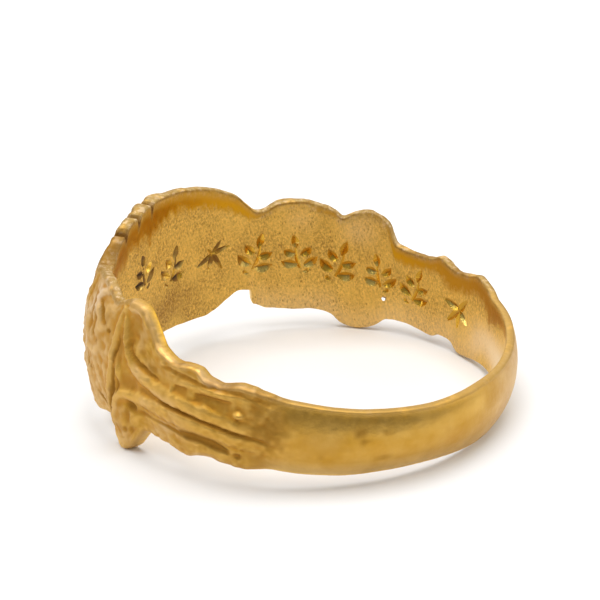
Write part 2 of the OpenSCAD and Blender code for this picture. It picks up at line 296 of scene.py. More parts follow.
# Engraved stars: angle, z of the middle and rays. Columns of a ray: direction in degrees, length, half
# width at the broad end.
STARS = (
    (-15.23, 0.72, (
        (121, 0.96, 0.11), (160, 1.12, 0.13), (234, 1.26, 0.14), (282, 1.06, 0.14), (328, 1.22, 0.14),
        (45, 0.58, 0.08))),
    (-108.57, -0.13, (
        (11, 1.24, 0.20), (123, 1.02, 0.18), (311, 1.22, 0.18), (267, 1.08, 0.14), (214, 0.98, 0.18))),
)
# Sprigs stand between the stars. Columns: angle, z of the middle, size, lean in degrees.
SPRIGS = (
    (19.5, 1.28, 1.02, -16),
    (2.0, 0.72, 1.06, 12),
    (-32.0, 0.42, 1.14, 14),
    (-46.5, 0.46, 1.06, -16),
    (-61.0, 0.26, 1.14, 14),
    (-75.0, 0.10, 1.02, -16),
    (-89.0, -0.06, 1.02, 12),
)
PAIRS_OF_LEAVES = 2


def clamp(value):
    return np.clip(value, 0, 1)


def ease(t):
    return (1 - np.cos(np.pi * clamp(t))) / 2


def smooth_rows(table, angle, column):
    """Reads a column of a table at any angle, smoothly and without overshoot between its rows."""
    rows = np.array(table, float)
    x, y = rows[:, 0], rows[:, column]
    step = np.diff(x)
    slope = np.diff(y) / step
    bend = np.zeros(len(x))
    same = slope[:-1] * slope[1:] > 0
    bend[1:-1][same] = 2 * slope[:-1][same] * slope[1:][same] / (slope[:-1] + slope[1:])[same]
    k = np.clip(np.searchsorted(x, angle, "right") - 1, 0, len(x) - 2)
    t = (angle - x[k]) / step[k]
    return (
        y[k] * (1 + 2 * t) * (1 - t) ** 2 + bend[k] * step[k] * t * (1 - t) ** 2
        + y[k + 1] * t * t * (3 - 2 * t) + bend[k + 1] * step[k] * t * t * (t - 1)
    )


def bump(distance, half_width):
    """1 in the middle, falling smoothly to 0 at half_width."""
    return clamp(1 - (distance / half_width) ** 2) ** 2


def round_bar(distance, half_width):
    return np.sqrt(clamp(1 - (distance / half_width) ** 2))


def window(x, low, high, soft):
    """1 between low and high, falling to 0 over the soft width outside them."""
    return 1 - ease(np.maximum(np.maximum(low - x, x - high), 0) / soft)


def smooth_max(values, blend):
    """The largest of several heights, with their creases rounded over the blend height."""
    values = np.stack(values)
    top = values.max(0)
    return top + blend * np.log(np.exp((values - top) / blend).sum(0)) - blend * np.log(len(values)) * 0.3


def round_path(points, per_span=6):
    """A smooth line through the points, as short straight spans."""
    p = np.array(points, float)
    p = np.vstack((2 * p[0] - p[1], p, 2 * p[-1] - p[-2]))
    t = np.linspace(0, 1, per_span, endpoint=False)[:, None]
    spans = [
        0.5 * (2 * p[i] + (p[i + 1] - p[i - 1]) * t
               + (2 * p[i - 1] - 5 * p[i] + 4 * p[i + 1] - p[i + 2]) * t * t
               + (3 * p[i] - p[i - 1] - 3 * p[i + 1] + p[i + 2]) * t ** 3)
        for i in range(1, len(p) - 2)
    ]
    return np.vstack(spans + [p[-2:-1]])


def path_distance(x, z, path):
    """Nearness of each place to a line of straight spans, all in millimetres on the unrolled face.

    The line's columns are place along, z, half width and height. Returns how far each place is from the
    line as a share of its half width there, and the line's height there.
    """
    far = 9.0
    reach = 0.1 + path[:, 2].max()
    near = (
        (x > path[:, 0].min() - reach) & (x < path[:, 0].max() + reach)
        & (z > path[:, 1].min() - reach) & (z < path[:, 1].max() + reach)
    )
    px, pz = x[near], z[near]
    share = np.full(px.shape, far)
    height = np.zeros(px.shape)
    for a, b in zip(path[:-1], path[1:]):
        along = b - a
        squared = along[0] ** 2 + along[1] ** 2 + 1e-12
        t = clamp(((px - a[0]) * along[0] + (pz - a[1]) * along[1]) / squared)
        here = np.hypot(px - a[0] - along[0] * t, pz - a[1] - along[1] * t) / (a[2] + along[2] * t)
        closer = here < share
        share = np.where(closer, here, share)
        height = np.where(closer, a[3] + along[3] * t, height)
    all_share, all_height = np.full(x.shape, far), np.zeros(x.shape)
    all_share[near], all_height[near] = share, height
    return all_share, all_height


def value_noise(x, y, seed):
    """Smooth noise between -1 and 1, the same on each run. The large odd numbers scatter its lattice."""
    def lattice(i, j):
        h = (i * 374761393 + j * 668265263 + seed * 974634777) & 0xFFFFFFFF
        h = ((h ^ (h >> 13)) * 1274126177) & 0xFFFFFFFF
        return ((h ^ (h >> 16)) & 0xFFFF) / 32767.5 - 1

    i, j = np.floor(x).astype(np.int64), np.floor(y).astype(np.int64)
    s, t = ease(x - i), ease(y - j)
    return (
        lattice(i, j) * (1 - s) * (1 - t) + lattice(i + 1, j) * s * (1 - t)
        + lattice(i, j + 1) * (1 - s) * t + lattice(i + 1, j + 1) * s * t
    )


def arc(angle):
    """Millimetres along the outer face from the middle of the bezel."""
    return np.radians(angle) * FACE_RADIUS


def face_noise(angle, z, per_mm, seed):
    return value_noise(arc(angle) * per_mm, z * per_mm, seed)


def edge_noise(angle, per_mm, seed, row=0.5):
    """Noise that changes along an edge and not across it."""
    along = arc(angle) * per_mm
    return value_noise(along, np.zeros_like(along) + row, seed)


def one_hand(s, w):
    """Height of one hand in its own lengths: s runs from the bezel's middle to the wrist, w across."""
    def limb(root, tip, root_width, tip_width):
        along = np.array(tip) - np.array(root)
        t = clamp(((s - root[0]) * along[0] + (w - root[1]) * along[1]) / (along @ along))
        off = np.hypot(s - root[0] - along[0] * t, w - root[1] - along[1] * t)
        return round_bar(off, root_width + (tip_width - root_width) * t), t

    def oval(middle, radii):
        return np.hypot((s - middle[0]) / radii[0], (w - middle[1]) / radii[1])

    back = 0.74 * round_bar(oval((3.7, -1.1), (3.0, 1.9)), 1)
    wrist = 0.50 * round_bar(oval((5.9, -0.3), (2.2, 2.0)), 1)
    palm, _ = limb((2.9, -1.7), (0.9, -0.75), 0.72, 0.62)
    thumb, run = limb((0.9, -0.75), (-1.75, 0.35), 0.60, 0.46)
    nail = 0.10 * bump(oval((-1.62, 0.30), (0.34, 0.28)), 1)
    parts = [back, wrist, 0.9 * palm, thumb + nail - 0.08 * bump(run - 0.45, 0.09)]
    fingers = np.zeros_like(s)
    for k in range(4):
        root = (2.15 + 1.26 * k, 4.6)
        tip = (1.20 + 1.16 * k, 0.62 + 0.20 * k)
        finger, run = limb(root, tip, 0.64, 0.52)
        joints = 0.10 * bump(run - 0.42, 0.05) + 0.07 * bump(run - 0.70, 0.04)
        nail = 0.09 * bump(oval((tip[0], tip[1] + 0.05), (0.30, 0.36)), 1)
        fingers = np.maximum(fingers, (1.06 - 0.04 * k) * finger + (nail - joints) * (finger > 0.3))
    return np.maximum(smooth_max(parts, 0.05), fingers)


def hands(angle, z, height):
    """The clasped hands. The far hand is the near one turned half round, to its own size."""
    s, w = arc(angle), z - BEZEL_MIDDLE
    near = one_hand(s * HAND_LENGTH / arc(NEAR_WRIST), w)
    far = one_hand(-s / (arc(FAR_WRIST) / HAND_LENGTH), -w / FAR_HAND_WIDTH)
    both = np.where(near > far, near, far)
    both = both - 0.30 * bump(near - far, 0.16) * (np.minimum(near, far) > 0.15)
    worn_tips = 0.55 * window(angle, 27, 37, 4) * window(z, 3.0, 6, 0.8)
    return height * WEAR_LIFT * both * window(angle, -FAR_WRIST, NEAR_WRIST, 2.0) * (1 - worn_tips)


def frill(angle, z):
    """The pleated edge of the sleeve at the wrist."""
    pleats = 0.5 + 0.5 * np.cos(2 * np.pi * (z + 0.2 * np.sin(z * 3)) / 0.62)
    band = window(angle, 42.6, 45.4, 1.2)
    return band * (0.05 + 0.09 * pleats) - 0.06 * bump(angle - 46.4, 1.1)


def shoulder(angle, z):
    """Ridges, grooves and hollows of one shoulder and cuff. Returns the height and the share of soil and
    painted shade.
    """
    x = arc(angle)
    raised, sunk, soil = np.zeros_like(x), np.zeros_like(x), np.zeros_like(x)
    for _, dirt, points in LINES:
        path = round_path([(arc(a), h, wide, rise) for a, h, wide, rise in points])
        share, rise = path_distance(x, z, path)
        form = clamp(1 - share ** 3.0) * rise
        raised, sunk = np.maximum(raised, form), np.minimum(sunk, form)
        soil = np.maximum(soil, dirt * window(share, 0, 0.65, 0.95) * clamp(np.abs(rise) / 0.08))
    for _, a, h, far_a, far_h, tall, rise, dirt in CELLS:
        share = (x - arc(a)) / (arc(far_a) - arc(a))
        above = z - h - (far_h - h) * share
        off = np.abs(above) / tall
        from_ends = np.minimum(share, 1 - share) * (arc(far_a) - arc(a))
        floor = ease(from_ends / 0.10) * (1 - 0.40 * clamp(share)) * clamp(0.62 + 0.38 * above / tall)
        sunk = np.minimum(sunk, rise * floor * clamp(1 - off ** 4))
        soil = np.maximum(soil, dirt * floor * window(off, 0, 0.8, 0.3))
    for _, a, h, long, tall, rise, dirt in PATCHES:
        share = np.hypot((angle - a) / long, (z - h) / tall)
        form = clamp(1 - share ** 2.4) * rise
        raised, sunk = raised + np.maximum(form, 0), sunk + np.minimum(form, 0)
        soil = np.maximum(soil, dirt * window(share, 0, 0.5, 0.8))
    return raised + sunk, soil


def blur(field, times):
    """Softens a field of heights, as wear does."""
    for _ in range(times):
        wide = np.pad(field, 1, mode="edge")
        around = wide[:-2, 1:-1] + wide[2:, 1:-1] + wide[1:-1, :-2] + wide[1:-1, 2:]
        field = 0.5 * field + 0.125 * around
    return field


def carving(angle, z, hand_height):
    """Height of the hands, cuffs and shoulders, and the share of soil and painted shade in them."""
    near_height, near_soil_and_shade = shoulder(angle, z)
    far_height, far_soil_and_shade = shoulder(-angle, z * 0.96)
    side = angle > 0
    height = np.where(side, near_height, far_height) + frill(np.where(side, angle, -angle + 9.5), z)
    height = 0.88 * blur(height, CARVING_WEAR) + blur(hands(angle, z, hand_height), HAND_WEAR)
    soil = np.where(side, near_soil_and_shade, far_soil_and_shade)
    ragged = 0.30 * face_noise(angle, z, 5.0, 22)
    for a, h, long, tall, dirt in STAINS_AND_SHADE:
        soil = np.maximum(soil, dirt * bump(np.hypot((angle - a) / long, (z - h) / tall) + ragged, 1))
    return height, soil


def face_relief(angle, z, top, bottom, hand_height):
    """Height of the carving, the beaded lips beside the rims and the wear, and the share of soil and
    painted shade.
    """
    height, soil = carving(angle, z, hand_height)
    beads = 0.55 + 0.45 * edge_noise(angle, 1.3, 11, 3.5) + 0.25 * edge_noise(angle, 2.9, 14, 3.5)
    lumpy = 0.30 * face_noise(angle, z, 4.6, 17)
    lip = bump(np.minimum(top - z, z - bottom) - 0.22, 0.40)
    height = height + lip * (beads + lumpy) * (0.012 + 0.15 * window(np.abs(angle), CUFF_START, 110, 5.0))
    pitting = face_noise(angle, z, 6.5, 12) + 0.6 * face_noise(angle, z, 13, 13)
    hammer = 0.010 * face_noise(angle, z, 0.8, 3) + 0.005 * face_noise(angle, z, 2.4, 4)
    wear = face_noise(angle, z, 1.7, 15) + 0.7 * face_noise(angle, z, 3.6, 16)
    cuffs = window(np.abs(angle), SLEEVE_START, 76, 6)
    rough = (0.015 + 0.012 * cuffs) * pitting + (0.022 + 0.010 * cuffs) * wear
    return height + hammer + window(np.abs(angle), SLEEVE_START, 116, 6) * rough, soil


def swell(angle, settings):
    """How far the worn inner wall stands outside the bore."""
    reach = clamp(1 - np.abs(angle - settings.swell_angle) / settings.swell_reach)
    return settings.swell_depth / MM * ease(reach)


def lumps(angle, seed):
    """Small unevenness of a worn rim, stronger beside the ornament than on the plain hoop."""
    uneven = 0.030 * edge_noise(angle, 1.3, seed) + 0.018 * edge_noise(angle, 3.6, seed + 1)
    strength = 0.25 + 0.75 * window(np.abs(angle), 0, HOOP_START, 8)
    return uneven * (strength + 0.3 * window(angle, CUFF_START, 108, 6))


def upper_edge(angle):
    edge = smooth_rows(EDGES, angle, 1) + lumps(angle, 31)
    for middle, depth in NICKS:
        finger_tip = 0.09 * bump(angle - middle - 3.9, 3.7)
        edge = edge - depth * bump(angle - middle, NICK_HALF_WIDTH) + finger_tip
    return edge + 0.03 * window(angle, -150, 40, 20) + 0.06 * window(angle, -70, -26, 8)


def lower_edge(angle):
    return smooth_rows(EDGES, angle, 2) - lumps(angle, 41)


def corner(start, turn, end, count):
    """Points of a rounded corner, from start to end, drawn towards turn."""
    t = (np.arange(count) + 0.5) / count
    return [start * (1 - k) ** 2 + 2 * turn * k * (1 - k) + end * k * k for k in t]


def rim_marks(angle, top, z, relief, dirt, loop_z):
    """The share of soil and painted shade on each point of the band, and how far it stands out of the
    worn face, with a painted light band under the hoop's upper rim added to that.

    The soil and painted shade of the outer face's upper border run on over the rim, and the nicks are
    full of painted shade.
    """
    across = z.shape[1]
    in_nicks = sum(bump(angle - middle, NICK_HALF_WIDTH) for middle, _ in NICKS)
    soil = np.minimum(2.2 * in_nicks, 1)[:, None] * clamp(1.3 - (top[:, None] - loop_z) / 0.4)
    soil[:, :across] = np.maximum(dirt, soil[:, :across])
    over_rim = slice(across, across + OUTER_CORNER_POINTS + INNER_CORNER_POINTS)
    soil[:, over_rim] = np.maximum(dirt[:, -1:], soil[:, over_rim])
    worn = np.zeros(loop_z.shape)
    # A painted light band under the hoop's upper rim, added to the wear.
    rubbed = 0.7 * bump(top[:, None] - z - 0.6, 0.6) * window(angle, 126, 180, 8)[:, None]
    over = blur(relief, PLACE_SOFTENING) - blur(relief, SURROUNDINGS_SOFTENING)
    worn[:, :across] = np.clip(over / FULL_DIFFERENCE + rubbed, -1, 1)
    return soil, worn


def band_section(angle, settings):
    """Loops of points round the section at each angle, as (way round, height, outward) in millimetres.

    Each loop runs up the outer face, over the upper edge, down the inner wall and under the lower edge.
    """
    def at(radius, height):
        return np.stack((radius, height), 1)

    top, bottom = upper_edge(angle), lower_edge(angle)
    hole = swell(angle, settings)
    rim, crown = smooth_rows(WALLS, angle, 1), smooth_rows(WALLS, angle, 2)
    k = np.linspace(-1, 1, settings.across)
    v = FACE_SHARE * (0.5 * np.sin(k * np.pi / 2) + 0.5 * k)
    half, middle = (top - bottom) / 2, (top + bottom) / 2
    z = middle[:, None] + v[None, :] * half[:, None]
    turn = np.repeat(angle[:, None], len(v), 1)
    relief, dirt = face_relief(turn, z, top[:, None], bottom[:, None], settings.hand_height / MM)
    fade = (1 - v ** 2) ** 0.25
    cuff_foot = 0.14 * window(angle, SLEEVE_START, 72, 6)[:, None] * clamp(-v) ** 1.5
    out = hole[:, None] + rim[:, None] + cuff_foot + crown[:, None] * (1 - v ** 2) ** 0.8 + fade * relief
    face = [at(out[:, j], z[:, j]) for j in range(len(v))]
    first, last = out[:, 0], out[:, -1]
    outer_round = np.minimum(settings.rim_round / MM, 0.62 * rim)
    inner_round = np.minimum(0.10, 0.3 * rim)
    upper_inner, lower_inner = at(hole, top - inner_round), at(hole, bottom + inner_round)
    inner = []
    for t in np.linspace(0, 1, settings.inside):
        place = upper_inner * (1 - t) + lower_inner * t
        ripple = 0.006 * value_noise(angle * 0.12, place[:, 1] * 0.8, 9)
        inner.append(at(place[:, 0] + ripple * np.sin(np.pi * t), place[:, 1]))
    loop = np.stack((
        *face,
        *corner(face[-1], at(last, top), at(last - outer_round, top), OUTER_CORNER_POINTS),
        *corner(at(hole + inner_round, top), at(hole, top), upper_inner, INNER_CORNER_POINTS),
        *inner,
        *corner(lower_inner, at(hole, bottom), at(hole + inner_round, bottom), INNER_CORNER_POINTS),
        *corner(at(first - outer_round, bottom), at(first, bottom), face[0], OUTER_CORNER_POINTS),
    ), 1)
    along = np.repeat(np.radians(angle)[:, None] * BORE_RADIUS, loop.shape[1], 1)
    soil, worn = rim_marks(angle, top, z, relief, dirt, loop[:, :, 1])
    return np.stack((along, loop[:, :, 1], loop[:, :, 0]), 2), soil, worn


def mesh_from_grid(name, points):
    """A closed mesh through loops of points, the last loop joined to the first."""
    rows, columns = points.shape[:2]
    i, j = np.meshgrid(np.arange(rows), np.arange(columns), indexing="ij")
    right, up = (i + 1) % rows, (j + 1) % columns
    faces = np.stack((i * columns + j, right * columns + j, right * columns + up, i * columns + up), 2)
    faces = faces.reshape(-1, 4)
    mesh = bpy.data.meshes.new(name)
    mesh.vertices.add(rows * columns)
    mesh.vertices.foreach_set("co", points.reshape(-1).astype(np.float32))
    mesh.loops.add(faces.size)
    mesh.loops.foreach_set("vertex_index", faces.reshape(-1).astype(np.int32))
    mesh.polygons.add(len(faces))
    mesh.polygons.foreach_set("loop_start", np.arange(len(faces), dtype=np.int32) * 4)
    mesh.update(calc_edges=True)
    mesh.validate()
    return mesh


def store(mesh, name, values, domain="POINT"):
    attribute = mesh.attributes.new(name, "FLOAT", domain)
    attribute.data.foreach_set("value", np.asarray(values, np.float32))


def read(collection, name, width=1, kind=np.float32):
    """One property of every vertex, edge, corner or face of a mesh, as an array."""
    values = np.empty(len(collection) * width, kind)
    collection.foreach_get(name, values)
    return values if width == 1 else values.reshape(-1, width)


def add_object(name, data):
    thing = bpy.data.objects.new(name, data)
    bpy.context.scene.collection.objects.link(thing)
    return thing


class Tree:
    """A node tree with short calls that place its nodes in a row and join them."""

    def __init__(self, tree):
        self.tree = tree
        self.column = 0

    def join(self, socket, value):
        if isinstance(value, bpy.types.NodeSocket):
            self.tree.links.new(value, socket)
        else:
            socket.default_value = value

    def add(self, kind, inputs=(), **values):
        node = self.tree.nodes.new(kind)
        node.location = (self.column * 190, 0)
        self.column += 1
        for key, value in values.items():
            setattr(node, key, value)
        for key, value in dict(inputs).items():
            self.join(node.inputs[key], value)
        return node

    def out(self, kind, inputs=(), **values):
        return self.add(kind, inputs, **values).outputs[0]

    def group(self, tree, inputs=()):
        return self.add(tree.bl_idname.replace("Tree", "Group"), inputs, node_tree=tree).outputs

    def math(self, operation, a, b=0.0):
        return self.out("ShaderNodeMath", {0: a, 1: b}, operation=operation)

    def times(self, first, *others):
        for other in others:
            first = self.math("MULTIPLY", first, other)
        return first

    def plus(self, a, b):
        return self.math("ADD", a, b)

    def minus(self, a, b):
        return self.math("SUBTRACT", a, b)

    def ramp(self, value, low, high, start=0.0, end=1.0):
        return self.out("ShaderNodeMapRange", {
            "Value": value, "From Min": low, "From Max": high, "To Min": start, "To Max": end})

    def mix(self, factor, a, b):
        """A mix of two colours. The Mix node has several sockets of each name, so they go by number."""
        return self.add("ShaderNodeMix", {0: factor, 6: a, 7: b}, data_type="RGBA").outputs[2]

    def noise(self, vector, scale, detail, roughness=0.5):
        return self.out("ShaderNodeTexNoise", {
            "Vector": vector, "Scale": scale, "Detail": detail, "Roughness": roughness})

    def stretch(self, vector, scale):
        return self.out("ShaderNodeVectorMath", {0: vector, 1: scale}, operation="MULTIPLY")

    def turn(self, vector, angle):
        inputs = {"Vector": vector, "Angle": angle}
        return self.out("ShaderNodeVectorRotate", inputs, rotation_type="Z_AXIS")


def new_tree(kind, name, inputs, outputs):
    """A node group with named sockets. Each input is (name, socket type, default)."""
    tree = bpy.data.node_groups.new(name, kind)
    for label, socket, default in inputs:
        made = tree.interface.new_socket(label, in_out="INPUT", socket_type="NodeSocket" + socket)
        if default is not None:
            made.default_value = default
    for label, socket in outputs:
        tree.interface.new_socket(label, in_out="OUTPUT", socket_type="NodeSocket" + socket)
    source = tree.nodes.new("NodeGroupInput")
    target = tree.nodes.new("NodeGroupOutput")
    return Tree(tree), source.outputs, target.inputs


def roll_tree():
    """Rolls a flat strip round the bore: X becomes the way round, Y the height and Z the radius."""
    t, source, target = new_tree(
        "GeometryNodeTree", "Roll round the bore",
        (("Geometry", "Geometry", None), ("Bore Radius", "Float", BORE_RADIUS)),
        (("Geometry", "Geometry"),),
    )
    split = t.add("ShaderNodeSeparateXYZ", {0: t.out("GeometryNodeInputPosition")}).outputs
    angle = t.math("DIVIDE", split["X"], source["Bore Radius"])
    radius = t.plus(split["Z"], source["Bore Radius"])
    x = t.times(radius, t.math("COSINE", angle))
    y = t.times(radius, t.math("SINE", angle))
    rolled = t.out("ShaderNodeCombineXYZ", {"X": x, "Y": y, "Z": split["Y"]})
    moved = t.out("GeometryNodeSetPosition", {"Geometry": source["Geometry"], "Position": rolled})
    t.join(target["Geometry"], moved)
    return t.tree


def engrave_tree(roll):
    """Sweeps a graver along the flat strokes, rolls them with the strip and cuts them out of it."""
    t, source, target = new_tree(
        "GeometryNodeTree", "Engraved hoop",
        (
            ("Geometry", "Geometry", None), ("Strokes", "Object", None),
            ("Bore Radius", "Float", BORE_RADIUS), ("Graver Spread", "Float", GRAVER_SPREAD),
            ("Graver Depth", "Float", GRAVER_DEPTH), ("Hole Place", "Vector", None),
            ("Hole Radius", "Float", WORN_HOLE_RADIUS), ("Material", "Material", None),
        ),
        (("Geometry", "Geometry"),),
    )

    def rolled(shape):
        return t.group(roll, {"Geometry": shape, "Bore Radius": source["Bore Radius"]})[0]

    strokes = t.add("GeometryNodeObjectInfo", {"Object": source["Strokes"]}).outputs["Geometry"]
    lines = t.out("GeometryNodeMeshToCurve", {"Mesh": strokes})
    level = t.out("GeometryNodeSetCurveNormal", {"Curve": lines}, mode="Z_UP")
    size = t.out("ShaderNodeCombineXYZ", {
        "X": source["Graver Depth"], "Y": source["Graver Spread"], "Z": 1.0})
    graver = t.out("GeometryNodeCurvePrimitiveCircle", {"Resolution": 3, "Radius": 1.0})
    graver = t.out("GeometryNodeTransform", {"Geometry": graver, "Scale": size})
    graver = t.out("GeometryNodeTransform", {"Geometry": graver, "Rotation": (0, 0, math.radians(-90))})
    depth = t.out("GeometryNodeInputNamedAttribute", {"Name": "depth"}, data_type="FLOAT")
    cutters = t.out("GeometryNodeCurveToMesh", {
        "Curve": level, "Profile Curve": graver, "Scale": depth, "Fill Caps": True})
    hole = t.out("GeometryNodeMeshCylinder", {
        "Vertices": 5, "Side Segments": 6, "Radius": source["Hole Radius"], "Depth": 3.0})
    hole = t.out("GeometryNodeTransform", {
        "Geometry": hole, "Translation": source["Hole Place"], "Rotation": WORN_HOLE_LEAN})
    union = t.add("GeometryNodeMeshBoolean", {"Self Intersection": True}, operation="UNION", solver="EXACT")
    for tool in (cutters, hole):
        t.join(union.inputs["Mesh 2"], rolled(tool))
    cut = t.out("GeometryNodeMeshBoolean", {
        "Mesh 1": rolled(source["Geometry"]), "Mesh 2": union.outputs[0]},
        operation="DIFFERENCE", solver="MANIFOLD")
    real = t.out("GeometryNodeRealizeInstances", {"Geometry": cut})
    done = t.out("GeometryNodeSetMaterial", {"Geometry": real, "Material": source["Material"]})
    t.join(target["Geometry"], done)
    return t.tree


def run_tree(thing, tree, values):
    """Runs a geometry node tree on an object and keeps the result as a plain mesh."""
    modifier = thing.modifiers.new(tree.name, "NODES")
    modifier.node_group = tree
    sockets = {s.name: s.identifier for s in tree.interface.items_tree if s.in_out == "INPUT"}
    for label, value in values.items():
        modifier[sockets[label]] = value
    depsgraph = bpy.context.evaluated_depsgraph_get()
    made = bpy.data.meshes.new_from_object(thing.evaluated_get(depsgraph), depsgraph=depsgraph)
    thing.modifiers.remove(modifier)
    old = thing.data
    thing.data = made
    bpy.data.meshes.remove(old)
    if not len(made.polygons):
        raise RuntimeError(f"{tree.name} left nothing of {thing.name}")


def stroke_line(start, end, half_width, bow=0.0, broad=0.35, taper=0.8, points=9):
    """A graver stroke on the flat wall: its points and depths, broadest at the given part of its length."""
    start, end = np.array(start, float), np.array(end, float)
    along = end - start
    across = np.array((-along[1], along[0]))
    t = np.linspace(0, 1, points)
    place = start + along * t[:, None] + across * (bow * np.sin(np.pi * t))[:, None]
    swelling = np.where(t < broad, t / broad, (1 - t) / (1 - broad))
    depth = half_width * (0.06 + 0.94 * np.sin(np.pi / 2 * swelling) ** taper)
    return place, depth


def star_strokes(angle, z, rays):
    """The rays of a star, each cut from its broad inner end to its point."""
    middle = np.array((math.radians(angle) * BORE_RADIUS, z))
    strokes = []
    for direction, length, half_width in rays:
        way = np.array((math.cos(math.radians(direction)), math.sin(math.radians(direction))))
        start, end = middle - way * 0.10, middle + way * length
        strokes.append(stroke_line(start, end, half_width, broad=0.28, taper=1.0))
    return strokes


def sprig_strokes(angle, z, size, lean):
    """A leafy sprig: a bowed stem, pairs of broad leaf cuts, one leaf at the tip and a curl at the foot.

    Its cuts are given sideways and upward from its middle, in the sprig's own size.
    """
    root = np.array((math.radians(angle) * BORE_RADIUS, z))
    turn = math.radians(lean)
    side, up = np.array((math.cos(turn), math.sin(turn))), np.array((-math.sin(turn), math.cos(turn)))

    def cut(start, end, half_width, **form):
        start, end = (root + size * (side * across + up * above) for across, above in (start, end))
        return stroke_line(start, end, half_width * size, **form)

    hand = 1 if lean > 0 else -1
    strokes = [
        cut((0, -0.95), (0, 0.58), 0.085, bow=0.08 * hand, broad=0.3),
        cut((0.02, 0.26), (0.05, 1.06), 0.175, broad=0.45, taper=1.1),
        cut((0, -0.93), (0.36 * hand, -0.80), 0.09, bow=-0.3 * hand, broad=0.6),
    ]
    for k in range(PAIRS_OF_LEAVES):
        low = -0.66 + 1.08 * k / PAIRS_OF_LEAVES
        reach = 0.88 - 0.20 * k
        for hand in (-1, 1):
            lift = 0.12 if hand > 0 else 0
            foot, tip = (hand * 0.04, low + lift), (hand * reach, low + 0.36 + lift)
            strokes.append(cut(foot, tip, 0.215 - 0.020 * k, bow=-0.10 * hand, broad=0.5, taper=1.1))
    return strokes


def stroke_object(settings):
    """All the strokes as one object of loose edges with a depth on each point."""
    strokes = [stroke for star in STARS for stroke in star_strokes(*star)]
    strokes += [stroke for sprig in SPRIGS for stroke in sprig_strokes(*sprig)]
    points = np.vstack([place for place, _ in strokes])
    edges, first = [], 0
    for place, _ in strokes:
        edges += [(first + k, first + k + 1) for k in range(len(place) - 1)]
        first += len(place)
    wall = swell(np.degrees(points[:, 0] / BORE_RADIUS), settings)
    mesh = bpy.data.meshes.new("strokes")
    mesh.from_pydata(np.column_stack((points, wall)).tolist(), edges, [])
    store(mesh, "depth", np.concatenate([depth for _, depth in strokes]))
    return add_object("strokes", mesh)


def band_places(mesh, settings):
    """Where each point of the mesh is on the ring, and the band's walls and edges at its angle."""
    x, y, z = read(mesh.vertices, "co", 3).astype(float).T
    p = SimpleNamespace(angle=np.degrees(np.arctan2(y, x)), radius=np.hypot(x, y), z=z)
    p.hole = BORE_RADIUS + swell(p.angle, settings)
    p.rim = p.hole + smooth_rows(WALLS, p.angle, 1)
    p.behind_rim = p.radius < p.rim - 0.05
    p.from_top = upper_edge(p.angle) - p.z
    p.from_bottom = p.z - lower_edge(p.angle)
    p.to_rim = np.minimum(p.from_top, p.from_bottom)
    return p


def face_corners(mesh):
    """The point of each face corner, where each face's corners start, how many it has, and their face."""
    owner = read(mesh.loops, "vertex_index", kind=np.int32)
    start = read(mesh.polygons, "loop_start", kind=np.int32)
    total = read(mesh.polygons, "loop_total", kind=np.int32)
    face = np.repeat(np.arange(len(total)), total)
    return SimpleNamespace(owner=owner, start=start, total=total, face=face)


def face_mean(corners, values):
    return np.add.reduceat(values[corners.owner], corners.start) / corners.total


def lay_map(mesh, p, corners):
    """The unrolled band as a UV map in millimetres, whole where a face crosses the back of the hoop."""
    around = np.radians(p.angle[corners.owner])
    first = around[corners.start][corners.face]
    around = np.where(around - first > math.pi, around - 2 * math.pi, around)
    around = np.where(first - around > math.pi, around + 2 * math.pi, around)
    flat = np.column_stack((around * FACE_RADIUS, p.z[corners.owner]))
    mesh.uv_layers.new(name="Band").data.foreach_set("uv", flat.reshape(-1).astype(np.float32))


def mark_cuts(mesh, p, corners):
    """Stores where the engraved cuts are, how deep and dirty, and how each facet faces the light."""
    inside = (p.radius < p.hole + CUT_REACH) & p.behind_rim & (p.to_rim > RIM_CLEAR)
    deeper = face_mean(corners, p.radius - p.hole) > 0.012
    cut = (face_mean(corners, inside.astype(float)) > 0.99) & deeper
    store(mesh, "cut", cut.astype(float), "FACE")
    deep = clamp((p.radius - p.hole - 0.02) / 0.10) * (p.radius < p.hole + 0.28) * p.behind_rim
    store(mesh, "cut_depth", deep)
    smear = value_noise(np.radians(p.angle) * BORE_RADIUS * 2.6, p.z * 2.6, 21)
    store(mesh, "grime", window(p.angle, GRIME_START, 40, 4) * clamp(0.25 + 2.2 * smear) * clamp(deep * 3))
    store(mesh, "cut_dirt", 0.85 * window(p.angle, -24, 40, 5) * clamp(0.7 + 1.2 * smear))
    across = face_mean(corners, np.cos(np.radians(p.angle)))
    along = face_mean(corners, np.sin(np.radians(p.angle)))
    normal = read(mesh.polygons, "normal", 3)
    # How far each cut facet faces up the bore and to one side: the colour paints light on such facets and
    # shade on the ones facing away.
    lean = 0.9 * normal[:, 2] + 0.4 * (normal[:, 1] * across - normal[:, 0] * along)
    store(mesh, "lit", np.clip(lean / 0.3, -1, 1), "FACE")
    return cut


